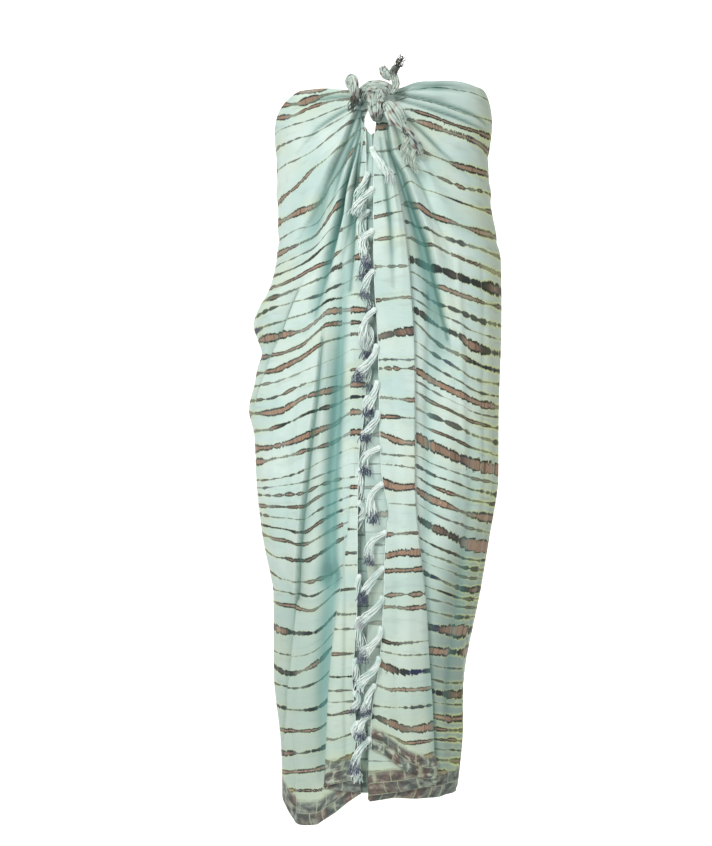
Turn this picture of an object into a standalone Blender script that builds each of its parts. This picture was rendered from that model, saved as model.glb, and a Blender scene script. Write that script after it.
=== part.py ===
"""A thin rayon sarong, wrapped from behind round the chest and knotted at the centre front.

The cloth is one rectangle. It runs from one fringed short edge round the back to the other, and its two
top corners are tied. Both fringed edges fall from the knot down the centre front, and near the hem each
front turns back under itself in a pleat.

X is across, positive to the right of someone looking at the front, -Y is the front and Z is up. The origin
is on the axis of the chest at the height of the knot. All sizes below are in millimetres, and MM makes them
metres. Around the body, an angle is measured in degrees from the centre front, positive to the right.
"""

import math

import bmesh
import bpy
import numpy as np

MM = 0.001

WALL = 1.2          # thickness of the cloth's solid
SEAM_GAP = 0.3      # between two pieces that touch on the real garment
EDGE_GAP = 0.5      # between a fringed edge and the strip that carries its tassels
GIRTH_RADIUS = 150  # turns an angle into a length round the body, for the folds' widths
TURN_LENGTH = 7.0   # cloth taken up by one turn of a pleat

# The garment's horizontal sections, from the centre of the body to each side
SECTIONS = (
    # height, left, right, front, back
    (20, 150, 165, 112, 96),
    (-40, 155, 171, 114, 98),
    (-90, 153, 166, 117, 100),
    (-150, 150, 168, 120, 104),
    (-240, 152, 184, 122, 114),
    (-330, 174, 185, 121, 125),
    (-465, 184, 181, 119, 138),
    (-575, 182, 180, 118, 142),
    (-660, 172, 166, 116, 138),
    (-735, 157, 153, 114, 134),
    (-870, 156, 125, 110, 126),
    (-960, 146, 122, 108, 122),
    (-1070, 143, 108, 108, 120),
)

TOP_EDGE = (
    # angle, height
    (-180, -42), (-120, -44), (-95, -50), (-84, -44), (-73, -24), (-62, -11), (-49, 0), (-33, 0),
    (-19, -4), (-8, -9), (3, -9), (9, -4), (19, 7), (29, 10), (44, 13), (58, 10), (73, 3), (84, -20),
    (97, -44), (120, -45), (180, -42),
)

HEM = (
    # angle, height
    (-180, -1056), (-130, -1052), (-90, -1042), (-73, -1052), (-62, -1064), (-50, -1069), (-37, -1067),
    (-32, -1058), (-22, -1041), (-17, -1029), (-8, -1020), (0, -1030), (7, -1026), (37, -1031),
    (64, -1029), (80, -1022), (110, -1040), (150, -1052), (180, -1056),
)

# Each front, from its fringed edge to the pleat that turns back under it. The turn is 0 where the cloth is
# flat and 180 where it is folded back. The overlap is how far the hidden layer reaches back under the front.
LEFT_FRONT = (
    # height, fringed edge across, pleat across, turn, overlap
    (10, -12, -20, 0, 1.5),
    (-30, -14, -23, 0, 1.5),
    (-47, -21, -27, 0, 1.5),
    (-66, -20, -28, 0, 1.5),
    (-93, -19, -29, 0, 2),
    (-150, -19, -34, 0, 3),
    (-280, -19, -40, 0, 4),
    (-460, -20, -41, 0, 4),
    (-520, -28, -41, 10, 3),
    (-610, -30, -42, 60, 2),
    (-666, -30, -46, 130, 3),
    (-721, -30, -53, 172, 8),
    (-795, -33, -65, 180, 16),
    (-849, -37, -71, 180, 24),
    (-930, -32, -75, 180, 36),
    (-1015, -42, -78, 180, 48),
)
RIGHT_FRONT = (
    # height, fringed edge across, pleat across, turn, overlap
    (10, 1, 8, 0, 1.5),
    (-30, -1, 9, 0, 1.5),
    (-47, -3, 12, 0, 1.5),
    (-78, -7, 16, 10, 2),
    (-123, -7, 23, 40, 2),
    (-162, -7, 29, 95, 2),
    (-212, -7, 36, 140, 3),
    (-279, -6, 43, 172, 6),
    (-368, -1, 49, 180, 12),
    (-466, 1, 50, 180, 18),
    (-572, 6, 50, 180, 24),
    (-609, 14, 52, 180, 27),
    (-650, 10, 56, 180, 31),
    (-736, 7, 67, 180, 42),
    (-822, 2, 73, 180, 56),
    (-905, -10, 79, 180, 72),
    (-1000, -8, 82, 180, 88),
)
TURN_AT_TOP = 0.36   # share of the turn's length at the knot, where the cloth is gathered
FULL_TURN_AT = -220  # height below which a turn has its whole length
LEAST_TURN = 0.5     # degrees, so that a flat stretch still has a radius
TUCK = 3.5           # how far the layer behind a pleat runs on before the open cloth starts
LEAST_OPEN = 2.5     # degrees between that layer and the line the gathers follow
WIDEST = 0.98        # share of the half width up to which a place across the front has an angle

PANEL_OUTER = {"left": -80, "right": 82}  # how far across each panel's hem reaches at the pleat
INNER_FOLD = {"left": -8, "right": 0}     # degrees from the front of each pleat's inner fold at the hem
HEM_READ_AT = -1000                       # height at which the hem's columns are read
HEM_RADIUS = 145
LEFT_PANEL_HEM = ((-80, -1010), (-42, -999))
RIGHT_PANEL_HEM = ((-8, -954), (10, -961), (29, -975), (52, -989), (82, -1000))

# Folds. A valley goes in, a ridge comes out, and at a step the named side stands in front of the other.
# Depth and width are given at both ends of the line and in its middle.
STEP_REACH = 4  # how many times its width a step's lift and drop spread to each side
FOLDS = (
    # name, kind, depths, widths, line of angle and height
    ("left_gather_high", "step_left", (5, 11, 4), (5, 10, 26),
     ((-10, -24), (-15, -52), (-19, -79), (-26, -111), (-32, -141), (-37, -160), (-45, -190))),
    ("left_gather_soft", "valley", (6, 10, 3), (8, 16, 24), ((-33, -150), (-41, -200), (-47, -240))),
    ("left_gather_deep", "valley", (5, 20, 6), (4, 8, 18),
     ((-9, -50), (-14, -102), (-20, -148), (-22, -181), (-28, -235), (-31, -280), (-33, -330))),
    ("left_inner", "valley", (4, 9, 6), (4, 6, 9), ((-9, -80), (-12, -134), (-14, -192), (-15, -294))),
    ("left_trough", "valley", (5, 18, 16), (8, 12, 16),
     ((-19, -265), (-18, -338), (-19, -390), (-20, -456), (-22, -530), (-25, -640), (-27, -705))),
    ("left_trough_low", "valley", (12, 14, 8), (16, 16, 14),
     ((-27, -705), (-31, -800), (-34, -900), (-36, -1000))),
    ("left_crease_high", "step_left", (3, 6, 5), (7, 5, 5),
     ((-28, -365), (-30, -450), (-36, -576), (-41, -647), (-50, -739))),
    ("left_crease_low", "step_right", (2, 7, 9), (5, 6, 8),
     ((-50, -750), (-54, -849), (-59, -894), (-70, -960))),
    ("left_side_edge", "step_right", (3, 8, 3), (8, 6, 8),
     ((-45, -295), (-52, -352), (-60, -385), (-72, -450))),
    ("left_side_swag", "ridge", (6, 13, 8), (20, 22, 26), ((-70, -300), (-95, -335), (-125, -350))),
    ("left_side_swag_low", "ridge", (5, 11, 8), (26, 28, 30), ((-66, -440), (-94, -465), (-130, -490))),
    ("left_side_hollow", "valley", (3, 8, 4), (14, 16, 20), ((-66, -372), (-92, -385), (-120, -400))),
    ("left_hem_belly", "ridge", (4, 9, 12), (20, 24, 26), ((-42, -800), (-46, -930), (-48, -1069))),
    ("right_gather_1", "valley", (3, 5, 2), (3, 5, 6),
     ((8, -11), (22, -16), (36, -24), (56, -34), (70, -43))),
    ("right_gather_2", "valley", (2, 3, 1), (3, 4, 6), ((9, -6), (26, -1), (48, 0))),
    ("right_gather_3", "valley", (2, 4, 1), (3, 5, 8), ((8, -18), (26, -31), (50, -45), (74, -56))),
    ("right_overlap", "step_right", (4, 15, 5), (4, 7, 18),
     ((5, -60), (7, -98), (13, -127), (18, -174), (23, -221), (26, -266), (30, -310), (34, -362))),
    ("right_overlap_trough", "valley", (3, 9, 4), (3, 9, 16),
     ((4, -80), (10, -127), (15, -174), (19, -221), (22, -270), (25, -330))),
    ("right_soft_1", "valley", (3, 7, 3), (12, 14, 18), ((28, -290), (28, -380), (29, -480))),
    ("right_soft_2", "ridge", (2, 6, 3), (12, 16, 20), ((33, -420), (34, -560), (40, -700))),
    ("right_soft_3", "valley", (3, 8, 7), (16, 20, 20), ((48, -480), (52, -700), (58, -900))),
    ("right_soft_4", "valley", (2, 5, 5), (12, 14, 16), ((70, -360), (74, -560), (78, -800))),
    ("right_under", "valley", (2, 7, 8), (10, 14, 16), ((20, -450), (26, -700), (42, -960))),
    ("right_hem_turn", "ridge", (3, 8, 9), (16, 18, 18), ((76, -860), (72, -950), (68, -1030))),
    ("right_side_wave", "ridge", (3, 8, 10), (18, 20, 20), ((100, -560), (104, -760), (102, -1030))),
    ("left_back_1", "valley", (3, 10, 14), (20, 22, 22), ((-112, -300), (-115, -600), (-112.5, -1050))),
    ("left_back_2", "ridge", (2, 9, 13), (18, 20, 22), ((-133, -240), (-131, -620), (-135, -1050))),
    ("left_back_3", "valley", (2, 10, 14), (16, 20, 20), ((-149, -180), (-147, -600), (-150, -1050))),
    ("left_back_4", "ridge", (2, 6, 12), (14, 18, 20), ((-167, -260), (-163, -640), (-165, -1050))),
    ("right_back_1", "valley", (2, 10, 14), (18, 20, 22), ((122, -280), (118, -620), (120, -1050))),
    ("right_back_2", "ridge", (2, 9, 13), (16, 20, 20), ((138, -200), (137, -600), (135, -1050))),
    ("right_back_3", "valley", (2, 10, 13), (16, 18, 20), ((156, -240), (155, -640), (157.5, -1050))),
    ("right_back_4", "ridge", (1, 5, 11), (14, 18, 20), ((171, -320), (174, -640), (172.5, -1050))),
    ("back_swag_left", "valley", (2, 7, 2), (12, 14, 12), ((-105, -130), (-140, -170), (-176, -185))),
    ("back_swag_right", "valley", (2, 7, 2), (12, 14, 12), ((105, -140), (140, -185), (176, -190))),
)

# Columns of the cloth's mesh in each stretch, from the fringed edge to the centre back
STRETCHES = (
    # name, columns
    ("panel", 5), ("first_turn", 3), ("hidden", 3), ("second_turn", 3), ("under", 2),
    ("to_gather", 7), ("to_side", 9), ("to_back", 12),
)
LEFT_GATHER = ((10, -10), (-50, -11), (-102, -15), (-181, -23), (-280, -31), (-400, -31), (-640, -38),
               (-800, -50), (-960, -58), (-1070, -58))
RIGHT_GATHER = ((10, 10), (-60, 8), (-98, 12), (-146, 17), (-221, 24), (-310, 31), (-480, 33), (-800, 50),
                (-960, 58), (-1070, 62))
GATHER_EASE = 0.55  # how closely the columns crowd towards the gather's line
TOP_ROWS = 9
TOP_SHARE = 0.19    # share of the cloth's height that the top rows cover
LOW_ROWS = 17

# The knot, from top to bottom
KNOT_RINGS = (
    # height, centre across, half width, half depth
    (4, -4, 10, 6),
    (1, -4, 17, 10),
    (-5, -4, 20, 13),
    (-12, -4, 18.5, 13.5),
    (-20, -5, 14, 12),
    (-31, -4.5, 12.5, 11),
    (-43, -3.5, 11, 9),
    (-53, -3, 6, 6),
)
KNOT_SIDES = 12
BAND_HALF_WIDTH = 6.0
BAND_HALF_THICKNESS = 2.6
KNOT_BAND = (
    # across, height
    (-17, -3), (-11, -4), (-5, -7), (0, -12), (2, -19), (1, -27),
)

# The tied corners' ends, as a centre line and a flat section
LEFT_TAIL = (
    # across, forward of the knot's middle, height, half width, half thickness
    (-24.7, 0, -13, 4, 4),
    (-31, 2, -11, 6, 4.5),
    (-38, 3, -4, 8, 4.5),
    (-41, 6, 2, 8.5, 4.5),
    (-39, 12, 5, 8.5, 4.5),
    (-37, 16, 0, 8, 4.5),
    (-36, 16.5, -9, 7.5, 4.5),
    (-35, 15.5, -20, 6.5, 4),
    (-36, 14, -28, 5.5, 3.5),
)
UP_TAIL = (
    (17.8, 2, -13, 4, 4),
    (21, 4, -8, 6, 4.5),
    (24, 4, 1, 6.5, 4.5),
    (22, 4, 9, 6, 4.5),
    (20, 5, 16, 5.5, 4),
    (24, 6, 24, 5, 3.5),
)
UP_LOBE = (
    (14, 4, 7, 3, 2.5),
    (10, 6, 10, 6, 3),
    (5.5, 7, 15, 6.5, 3),
    (3, 7, 21, 4, 2),
)
RIGHT_TAIL = (
    (9.2, 8, -30.2, 6, 4),
    (17, 11, -38, 10, 5),
    (26, 8, -50, 12.5, 5),
    (36, 4, -64, 12.5, 4.5),
    (46, 1, -78, 11, 4),
    (55, -2, -92, 8, 3.5),
)
TAIL_SIDES = 8
KNOT_CLEARANCE = 0.1  # added between the knot and both the cloth behind it and the band across it
LEFT_TAIL_LOCKS = ((-4, 1, -14), (0, 1, -17), (4, 1, -13))
UP_TAIL_LOCKS = ((2, 1, 10), (5, 0, 12), (9, -1, 8))
RIGHT_TAIL_LOCKS = ((-15, 0, -26), (-3, -1, -32), (6, -2, -16))

# The tassels of each fringed edge: where each is tied, how far it swings across and forward, and its drop
RIGHT_TASSELS = (
    # height, across, forward, drop
    (-92, 24, 10, 34), (-150, -24, 3, 32), (-210, -12, 1, 38), (-268, -15, 1, 34), (-323, -20, 1, 38),
    (-375, -20, 1, 36), (-427, -14, 1, 34), (-470, -16, 1, 36), (-520, -22, 2, 34), (-572, -24, 4, 38),
    (-642, -28, 6, 38), (-693, -24, 6, 36), (-736, -26, 6, 34), (-779, -24, 6, 34), (-822, -20, 6, 34),
    (-862, -12, 6, 34), (-904, -16, 6, 28), (-938, -20, 6, 44),
)
LEFT_TASSELS = (
    # height, across, forward, drop
    (-128, 1, -2, 30), (-182, 1, -2, 32), (-236, 1, -2, 32), (-290, 1, -3, 34), (-347, 1, -4, 36),
    (-400, 1, -5, 34), (-448, 1, -6, 34), (-500, 2, -6, 34), (-552, 2, -7, 32), (-600, 2, -8, 34),
    (-704, 2, -8, 36), (-765, 2, -8, 34), (-825, 2, -8, 30), (-872, 3, -3, 28), (-914, 2, -8, 34),
    (-962, 3, -2, 26),
)
STRIP_WIDTH = 2.2
STRIP_THICKNESS = 1.6
STRIP_TOP = -62
STRIP_FOOT = {"left": -994, "right": -948}
ROOT_LENGTH = 5.0    # of the strip's edge that one tassel grows from
HEAD_SIZE = 6.6
HEAD_RINGS = (
    # out from the strip, down, forward, bend towards the floor, size
    (1.6, 0.2, 0.6, 15, 0.9),
    (3.0, 1.6, 2.4, 50, 0.95),
    (3.2, 5.0, 4.4, 90, 0.85),
)
LOCK_SPREAD = 2.6    # how far a tassel's locks part at their ends
LOCK_DROP_CURVE = 1.2  # above 1 a lock starts out sideways and then falls
LOCK_RINGS = (
    # share of the lock's length, half width
    (0.14, 1.1),
    (0.42, 1.5),
    (0.72, 1.6),
    (1.0, 0.9),
)


def eased(share):
    """A share from 0 to 1 that starts and ends gently."""
    share = np.clip(share, 0.0, 1.0)
    return share * share * (3 - 2 * share)


def table_value(table, column, at):
    """A table's column, read smoothly between its rows by the value in its first column."""
    rows = sorted(table)
    places = np.array([row[0] for row in rows], float)
    values = np.array([row[column] for row in rows], float)
    slopes = np.gradient(values, places)
    at = np.clip(at, places[0], places[-1])
    low = np.clip(np.searchsorted(places, at, side="right") - 1, 0, len(places) - 2)
    span = places[low + 1] - places[low]
    share = (at - places[low]) / span
    keep = 2 * share**3 - 3 * share**2 + 1
    take = 3 * share**2 - 2 * share**3
    leave = (share**3 - 2 * share**2 + share) * span
    arrive = (share**3 - share**2) * span
    steep = 3 * np.abs(np.diff(values) / np.diff(places))
    limit_low = np.clip(slopes[low], -steep[low], steep[low])
    limit_high = np.clip(slopes[low + 1], -steep[low], steep[low])
    return keep * values[low] + take * values[low + 1] + leave * limit_low + arrive * limit_high


def section_sizes(angle, height):
    """Half width and depth of the body's section on this side, at each point."""
    left, right, front, back = (table_value(SECTIONS, column, height) for column in (1, 2, 3, 4))
    wide = np.where(np.sin(angle) >= 0, right, left)
    deep = np.where(np.cos(angle) >= 0, front, back)
    return wide, deep


def angle_of(across, height):
    """The angle round the body of a place on the front, from how far across it is."""
    wide = table_value(SECTIONS, 2, height) if np.mean(across) >= 0 else table_value(SECTIONS, 1, height)
    return np.arcsin(np.clip(across / wide, -WIDEST, WIDEST))


def on_body(angle, height, out):
    """Points that stand out from the body's section, as an array of x, y and z."""
    wide, deep = section_sizes(angle, height)
    run_x = wide * np.cos(angle)
    run_y = deep * np.sin(angle)
    length = np.hypot(run_x, run_y)
    x = wide * np.sin(angle) + out * run_y / length
    y = -deep * np.cos(angle) - out * run_x / length
    return np.stack([x, y, height + 0 * x], axis=-1)


def fold_line(line):
    """A fold's line on the flattened cloth: girth in millimetres and height."""
    return np.array([(math.radians(angle) * GIRTH_RADIUS, height) for angle, height in line])


def distance_to_line(girth, height, line):
    """Distance of each point to a fold's line, its side (+1 to the right of it) and its share of the line."""
    best = np.full(girth.shape, np.inf)
    side = np.zeros(girth.shape)
    share = np.zeros(girth.shape)
    lengths = np.hypot(*np.diff(line, axis=0).T)
    starts = np.concatenate([[0], np.cumsum(lengths)])
    for index, length in enumerate(lengths):
        ax, az = line[index]
        dx, dz = (line[index + 1] - line[index]) / length
        along = np.clip((girth - ax) * dx + (height - az) * dz, 0, length)
        off_x = girth - ax - along * dx
        off_z = height - az - along * dz
        off = np.hypot(off_x, off_z)
        nearer = off < best
        best = np.where(nearer, off, best)
        side = np.where(nearer, np.sign(off_z * dx - off_x * dz), side)
        share = np.where(nearer, (starts[index] + along) / starts[-1], share)
    return best, side, share


def fold_offset(angle, height):
    """How far the folds push each point of the cloth out of the body's section."""
    girth = angle * GIRTH_RADIUS
    out = np.zeros(girth.shape)
    for _, kind, depths, widths, line in FOLDS:
        off, side, share = distance_to_line(girth, height, fold_line(line))
        depth = np.interp(share, (0, 0.5, 1), depths)
        width = np.interp(share, (0, 0.5, 1), widths)
        if kind == "valley":
            out -= depth * np.exp(-((off / width) ** 2))
        elif kind == "ridge":
            out += depth * np.exp(-((off / width) ** 2))
        else:
            raised = side if kind == "step_right" else -side
            reach = width * STEP_REACH
            front = eased(0.5 + raised * off / (2 * width)) - 0.5
            out += depth * front * np.exp(-((off / reach) ** 2))
    return out


def pleat_place(front, height, sign, part, share):
    """Where a point of one stretch near the front edge lies: how far across, and how far out."""
    edge = table_value(front, 1, height)
    crease = table_value(front, 2, height)
    turn = np.radians(np.clip(table_value(front, 3, height), LEAST_TURN, 180))
    hidden = table_value(front, 4, height)
    size = TURN_LENGTH * (TURN_AT_TOP + (1 - TURN_AT_TOP) * eased(height / FULL_TURN_AT))
    radius = size / turn
    start = crease - sign * radius * np.sin(np.minimum(turn, math.pi / 2))
    bend_across = radius * np.sin(turn)
    bend_drop = radius * (1 - np.cos(turn))
    hidden_across = hidden * np.cos(turn)
    hidden_drop = hidden * np.sin(turn)
    raised = 2 * bend_drop + hidden_drop
    end = start + sign * (2 * bend_across + hidden_across)
    under = np.where(sign * crease > sign * end, crease, end) + sign * TUCK
    if part == "panel":
        return edge + (start - edge) * share, raised
    if part == "first_turn":
        across = start + sign * radius * np.sin(turn * share)
        return across, raised - radius * (1 - np.cos(turn * share))
    if part == "hidden":
        across = start + sign * (bend_across + hidden_across * share)
        return across, raised - bend_drop - hidden_drop * share
    if part == "second_turn":
        left = turn * (1 - share)
        across = end - sign * radius * np.sin(left)
        return across, radius * (1 - np.cos(left))
    return end + (under - end) * share, 0 * raised


def column_places():
    """The stretch and the share along it of each column, from the fringed edge to the centre back."""
    places = []
    for name, count in STRETCHES:
        first = 0 if name == "panel" else 1
        places += [(name, step / count) for step in range(first, count + 1)]
    return places


def row_shares():
    """How far down the cloth each row lies, closer together near the knot."""
    top = np.linspace(0, TOP_SHARE, TOP_ROWS + 1)
    low = np.linspace(TOP_SHARE, 1, LOW_ROWS + 1)
    return np.concatenate([top, low[1:]])


def column_points(side, part, share, heights):
    """One column of the cloth: angle round the body, and how far out the pleat holds it."""
    sign = -1 if side == "left" else 1
    front = LEFT_FRONT if side == "left" else RIGHT_FRONT
    if part in ("panel", "first_turn", "hidden", "second_turn", "under"):
        across, out = pleat_place(front, heights, sign, part, share)
        return angle_of(across, heights), out
    gather = np.radians(table_value(LEFT_GATHER if side == "left" else RIGHT_GATHER, 1, heights))
    under, _ = pleat_place(front, heights, sign, "under", 1.0)
    start = angle_of(under, heights)
    gather = sign * np.maximum(sign * gather, sign * start + math.radians(LEAST_OPEN))
    crowd = GATHER_EASE * (eased(share) - share)
    if part == "to_gather":
        return start + (gather - start) * (share + crowd), 0 * heights
    flank = sign * math.pi / 2 + 0 * heights
    if part == "to_side":
        share = share + GATHER_EASE * (share * share - share)
        return gather + (flank - gather) * share, 0 * heights
    centre_back = sign * (math.pi - SEAM_GAP / 2 / GIRTH_RADIUS)
    return flank + (centre_back - flank) * share, 0 * heights


def hem_height(side, part, share, angle, across):
    """The height of the hem under one column."""
    panel_hem = LEFT_PANEL_HEM if side == "left" else RIGHT_PANEL_HEM
    main = table_value(HEM, 1, np.degrees(angle))
    if part == "panel":
        return table_value(panel_hem, 1, across)
    outer = table_value(panel_hem, 1, PANEL_OUTER[side])
    inner = table_value(HEM, 1, INNER_FOLD[side])
    order = ("first_turn", "hidden", "second_turn")
    if part in order:
        passed = (order.index(part) + share) / len(order)
        return outer + (inner - outer) * passed
    return main


def cloth_grid(side):
    """The middle of the cloth's wall on one side, as columns of points from its top edge to its hem."""
    columns = []
    for part, share in column_places():
        at_top, _ = column_points(side, part, share, np.array([0.0]))
        at_hem, _ = column_points(side, part, share, np.array([float(HEM_READ_AT)]))
        top = table_value(TOP_EDGE, 1, np.degrees(at_top[0]))
        across = HEM_RADIUS * math.sin(at_hem[0])
        foot = hem_height(side, part, share, at_hem[0], across)
        heights = top + (foot - top) * row_shares()
        angles, out = column_points(side, part, share, heights)
        out = out + fold_offset(angles, heights)
        columns.append(on_body(angles, heights, out))
    return np.array(columns)


def grid_normals(grid, side):
    """The direction towards the cloth's outer face at each point of a grid."""
    along = np.gradient(grid, axis=0)
    down = np.gradient(grid, axis=1)
    normal = np.cross(along, down) if side == "left" else np.cross(down, along)
    return normal / np.linalg.norm(normal, axis=-1, keepdims=True)


def new_object(name, points, faces, material):
    """An object with this mesh, made from points in millimetres."""
    mesh = bpy.data.meshes.new(name)
    mesh.from_pydata([tuple(point * MM) for point in np.asarray(points)], [], faces)
    mesh.materials.append(material)
    shape = bmesh.new()
    shape.from_mesh(mesh)
    bmesh.ops.recalc_face_normals(shape, faces=shape.faces)
    shape.to_mesh(mesh)
    shape.free()
    mesh.shade_smooth()
    made = bpy.data.objects.new(name, mesh)
    bpy.context.scene.collection.objects.link(made)
    return made


def wall_faces(grid):
    """Triangles of a closed wall over a grid whose outer points come first and inner points second.

    Both faces of the wall are split along the same diagonal, the shorter one, so that they stay parallel.
    """
    columns, rows, _ = grid.shape
    inner = columns * rows
    faces = []
    for column in range(columns - 1):
        for row in range(rows - 1):
            corners = (column * rows + row, column * rows + row + 1,
                       (column + 1) * rows + row + 1, (column + 1) * rows + row)
            falling = np.linalg.norm(grid[column, row] - grid[column + 1, row + 1])
            rising = np.linalg.norm(grid[column, row + 1] - grid[column + 1, row])
            split = ((0, 1, 2), (0, 2, 3)) if falling < rising else ((0, 1, 3), (1, 2, 3))
            for triangle in split:
                faces.append([corners[index] for index in triangle])
                faces.append([corners[index] + inner for index in reversed(triangle)])
    rim = [(column * rows, (column + 1) * rows) for column in range(columns - 1)]
    rim += [((column + 1) * rows - 1, (column + 2) * rows - 1) for column in range(columns - 1)]
    rim += [(row, row + 1) for row in range(rows - 1)]
    rim += [((columns - 1) * rows + row, (columns - 1) * rows + row + 1) for row in range(rows - 1)]
    for first, second in rim:
        faces.append([first, second, second + inner, first + inner])
    return faces


def make_cloth(side, material):
    """One half of the wrapped cloth, from its fringed edge to the centre back."""
    grid = cloth_grid(side)
    normals = grid_normals(grid, side)
    outer = (grid + normals * WALL / 2).reshape(-1, 3)
    inner = (grid - normals * WALL / 2).reshape(-1, 3)
    new_object(f"cloth_{side}", np.concatenate([outer, inner]), wall_faces(grid), material)
    return grid, normals


def ring_faces(rings, sides, caps=(True, True)):
    """Faces of a tube of rings, with its two ends closed if asked."""
    faces = []
    for ring in range(rings - 1):
        for step in range(sides):
            following = (step + 1) % sides
            low = ring * sides
            high = low + sides
            faces.append([low + step, low + following, high + following, high + step])
    if caps[0]:
        faces.append(list(range(sides)))
    if caps[1]:
        faces.append(list(range((rings - 1) * sides, rings * sides)))
    return faces


def unit(vector):
    return vector / np.linalg.norm(vector)


def tube_rings(centres, halves, sides):
    """Rings across a centre line: half widths lie across the front view, half thicknesses front to back."""
    points = []
    flat = None
    for index, centre in enumerate(centres):
        before = centres[max(index - 1, 0)]
        after = centres[min(index + 1, len(centres) - 1)]
        run = unit(after - before)
        aside = unit(np.cross(run, (0, -1, 0)))
        flat = aside if flat is None or aside @ flat > 0 else -aside
        thick = np.cross(flat, run)
        wide, deep = halves[index]
        for step in range(sides):
            turn = 2 * math.pi * (step + 0.5) / sides
            points.append(centre + flat * wide * math.cos(turn) + thick * deep * math.sin(turn))
    return points


def turned(vectors, before, after):
    """Vectors carried round by the turn from one direction to another."""
    axis = np.cross(before, after)
    skew = np.array([[0, -axis[2], axis[1]], [axis[2], 0, -axis[0]], [-axis[1], axis[0], 0]])
    turn = np.eye(3) + skew + skew @ skew / (1 + before @ after)
    return [turn @ vector for vector in vectors]


def add_lock(points, faces, root, ends):
    """A lock of yarn with four sides, grown from the root's four points through rings at these centres."""
    previous = list(root)
    corners = [points[index] for index in root]
    middle = np.mean(corners, axis=0)
    rising = unit(corners[2] - corners[0])
    falling = unit(corners[3] - corners[1])
    first = unit(rising + falling)
    second = unit(rising - falling)
    spokes = [-first - second, second - first, first + second, first - second]
    heading = unit(np.cross(corners[1] - corners[3], corners[2] - corners[0]))
    if heading @ (ends[0] - middle) < 0:
        heading = -heading
    for index, (centre, (_, half)) in enumerate(zip(ends, LOCK_RINGS[-len(ends):])):
        before = ends[index - 1] if index else middle
        after = ends[min(index + 1, len(ends) - 1)]
        run = unit(after - before)
        spokes = turned(spokes, heading, run)
        heading = run
        ring = []
        for spoke in spokes:
            ring.append(len(points))
            points.append(centre + spoke * half)
        for step in range(4):
            following = (step + 1) % 4
            faces.append([previous[step], previous[following], ring[following], ring[step]])
        previous = ring
    faces.append(previous)


def knot_reach(across, height):
    """How far the knot's surface stands forward of its middle."""
    centre, wide, deep = (table_value(KNOT_RINGS, column, height) for column in (1, 2, 3))
    return deep * math.sqrt(max(0.0, 1 - ((across - centre) / wide) ** 2))


def knot_middle(left, right):
    """Where the knot's middle lies from front to back, so that it just clears the cloth behind it."""
    near = np.concatenate([left.reshape(-1, 3), right.reshape(-1, 3)])
    lowest = KNOT_RINGS[-1][0]
    highest = KNOT_RINGS[0][0]
    middles = []
    for across, forward, height in near[near[:, 1] < 0]:
        if lowest < height < highest and knot_reach(across, height) > 0:
            middles.append(forward - WALL / 2 - KNOT_CLEARANCE - knot_reach(across, height))
    return min(middles)


def make_knot(middle, material):
    """The knot's body and the band of cloth that crosses its front."""
    points = []
    for height, across, wide, deep in KNOT_RINGS:
        for step in range(KNOT_SIDES):
            turn = 2 * math.pi * step / KNOT_SIDES
            points.append(np.array([across + wide * math.cos(turn), middle + deep * math.sin(turn), height]))
    new_object("knot", points, ring_faces(len(KNOT_RINGS), KNOT_SIDES), material)
    centres = []
    for across, height in KNOT_BAND:
        reach = max(knot_reach(across + BAND_HALF_WIDTH * aside, height) for aside in (-0.5, 0, 0.5))
        forward = reach + BAND_HALF_THICKNESS + KNOT_CLEARANCE
        centres.append(np.array([across, middle - forward, height]))
    halves = [(BAND_HALF_WIDTH, BAND_HALF_THICKNESS)] * len(centres)
    points = tube_rings(centres, halves, TAIL_SIDES)
    new_object("knot_band", points, ring_faces(len(centres), TAIL_SIDES), material)


def make_tail(name, stations, locks, middle, material):
    """One end of a tied corner, with its frayed locks at the tip."""
    centres = [np.array([across, middle - forward, height]) for across, forward, height, _, _ in stations]
    halves = [(wide, thick) for _, _, _, wide, thick in stations]
    points = tube_rings(centres, halves, TAIL_SIDES)
    faces = ring_faces(len(centres), TAIL_SIDES, (True, not locks))
    tip = len(points) - TAIL_SIDES
    roots = ((7, 0, 1, 2), (2, 3, 6, 7), (3, 4, 5, 6))
    order = sorted(roots, key=lambda root: np.mean([points[tip + index][0] for index in root]))
    for root, (across, forward, rise) in zip(order, locks):
        start = np.mean([points[tip + index] for index in root], axis=0)
        swing = np.array([across, -forward, rise])
        add_lock(points, faces, [tip + index for index in root],
                 [start + swing * share for share, _ in LOCK_RINGS[1:]])
    new_object(name, points, faces, material)


def edge_station(grid, normals, height):
    """The fringed edge at one height: its place, the way out of the cloth's face and the way off the edge."""
    heights = grid[0, :, 2]
    row = int(np.clip(np.searchsorted(-heights, -height) - 1, 0, len(heights) - 2))
    share = (height - heights[row]) / (heights[row + 1] - heights[row])
    place = grid[0, row] + (grid[0, row + 1] - grid[0, row]) * share
    face = unit(normals[0, row] + (normals[0, row + 1] - normals[0, row]) * share)
    beyond = grid[0] - grid[1]
    away = beyond[row] / np.linalg.norm(beyond[row])
    following = beyond[row + 1] / np.linalg.norm(beyond[row + 1])
    away = unit(away + (following - away) * share)
    return place, face, away


def strip_heights(grid, tassels, foot):
    """Heights of the strip's stations: the cloth's own rows, and both ends of each tassel's root."""
    rows = [height for height in grid[0, :, 2] if foot < height < STRIP_TOP]
    roots = [tassel[0] + end * ROOT_LENGTH / 2 for tassel in tassels for end in (1, -1)]
    apart = [height for height in rows if all(abs(height - tassel[0]) > ROOT_LENGTH for tassel in tassels)]
    return sorted(apart + roots + [STRIP_TOP, foot], reverse=True)


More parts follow.
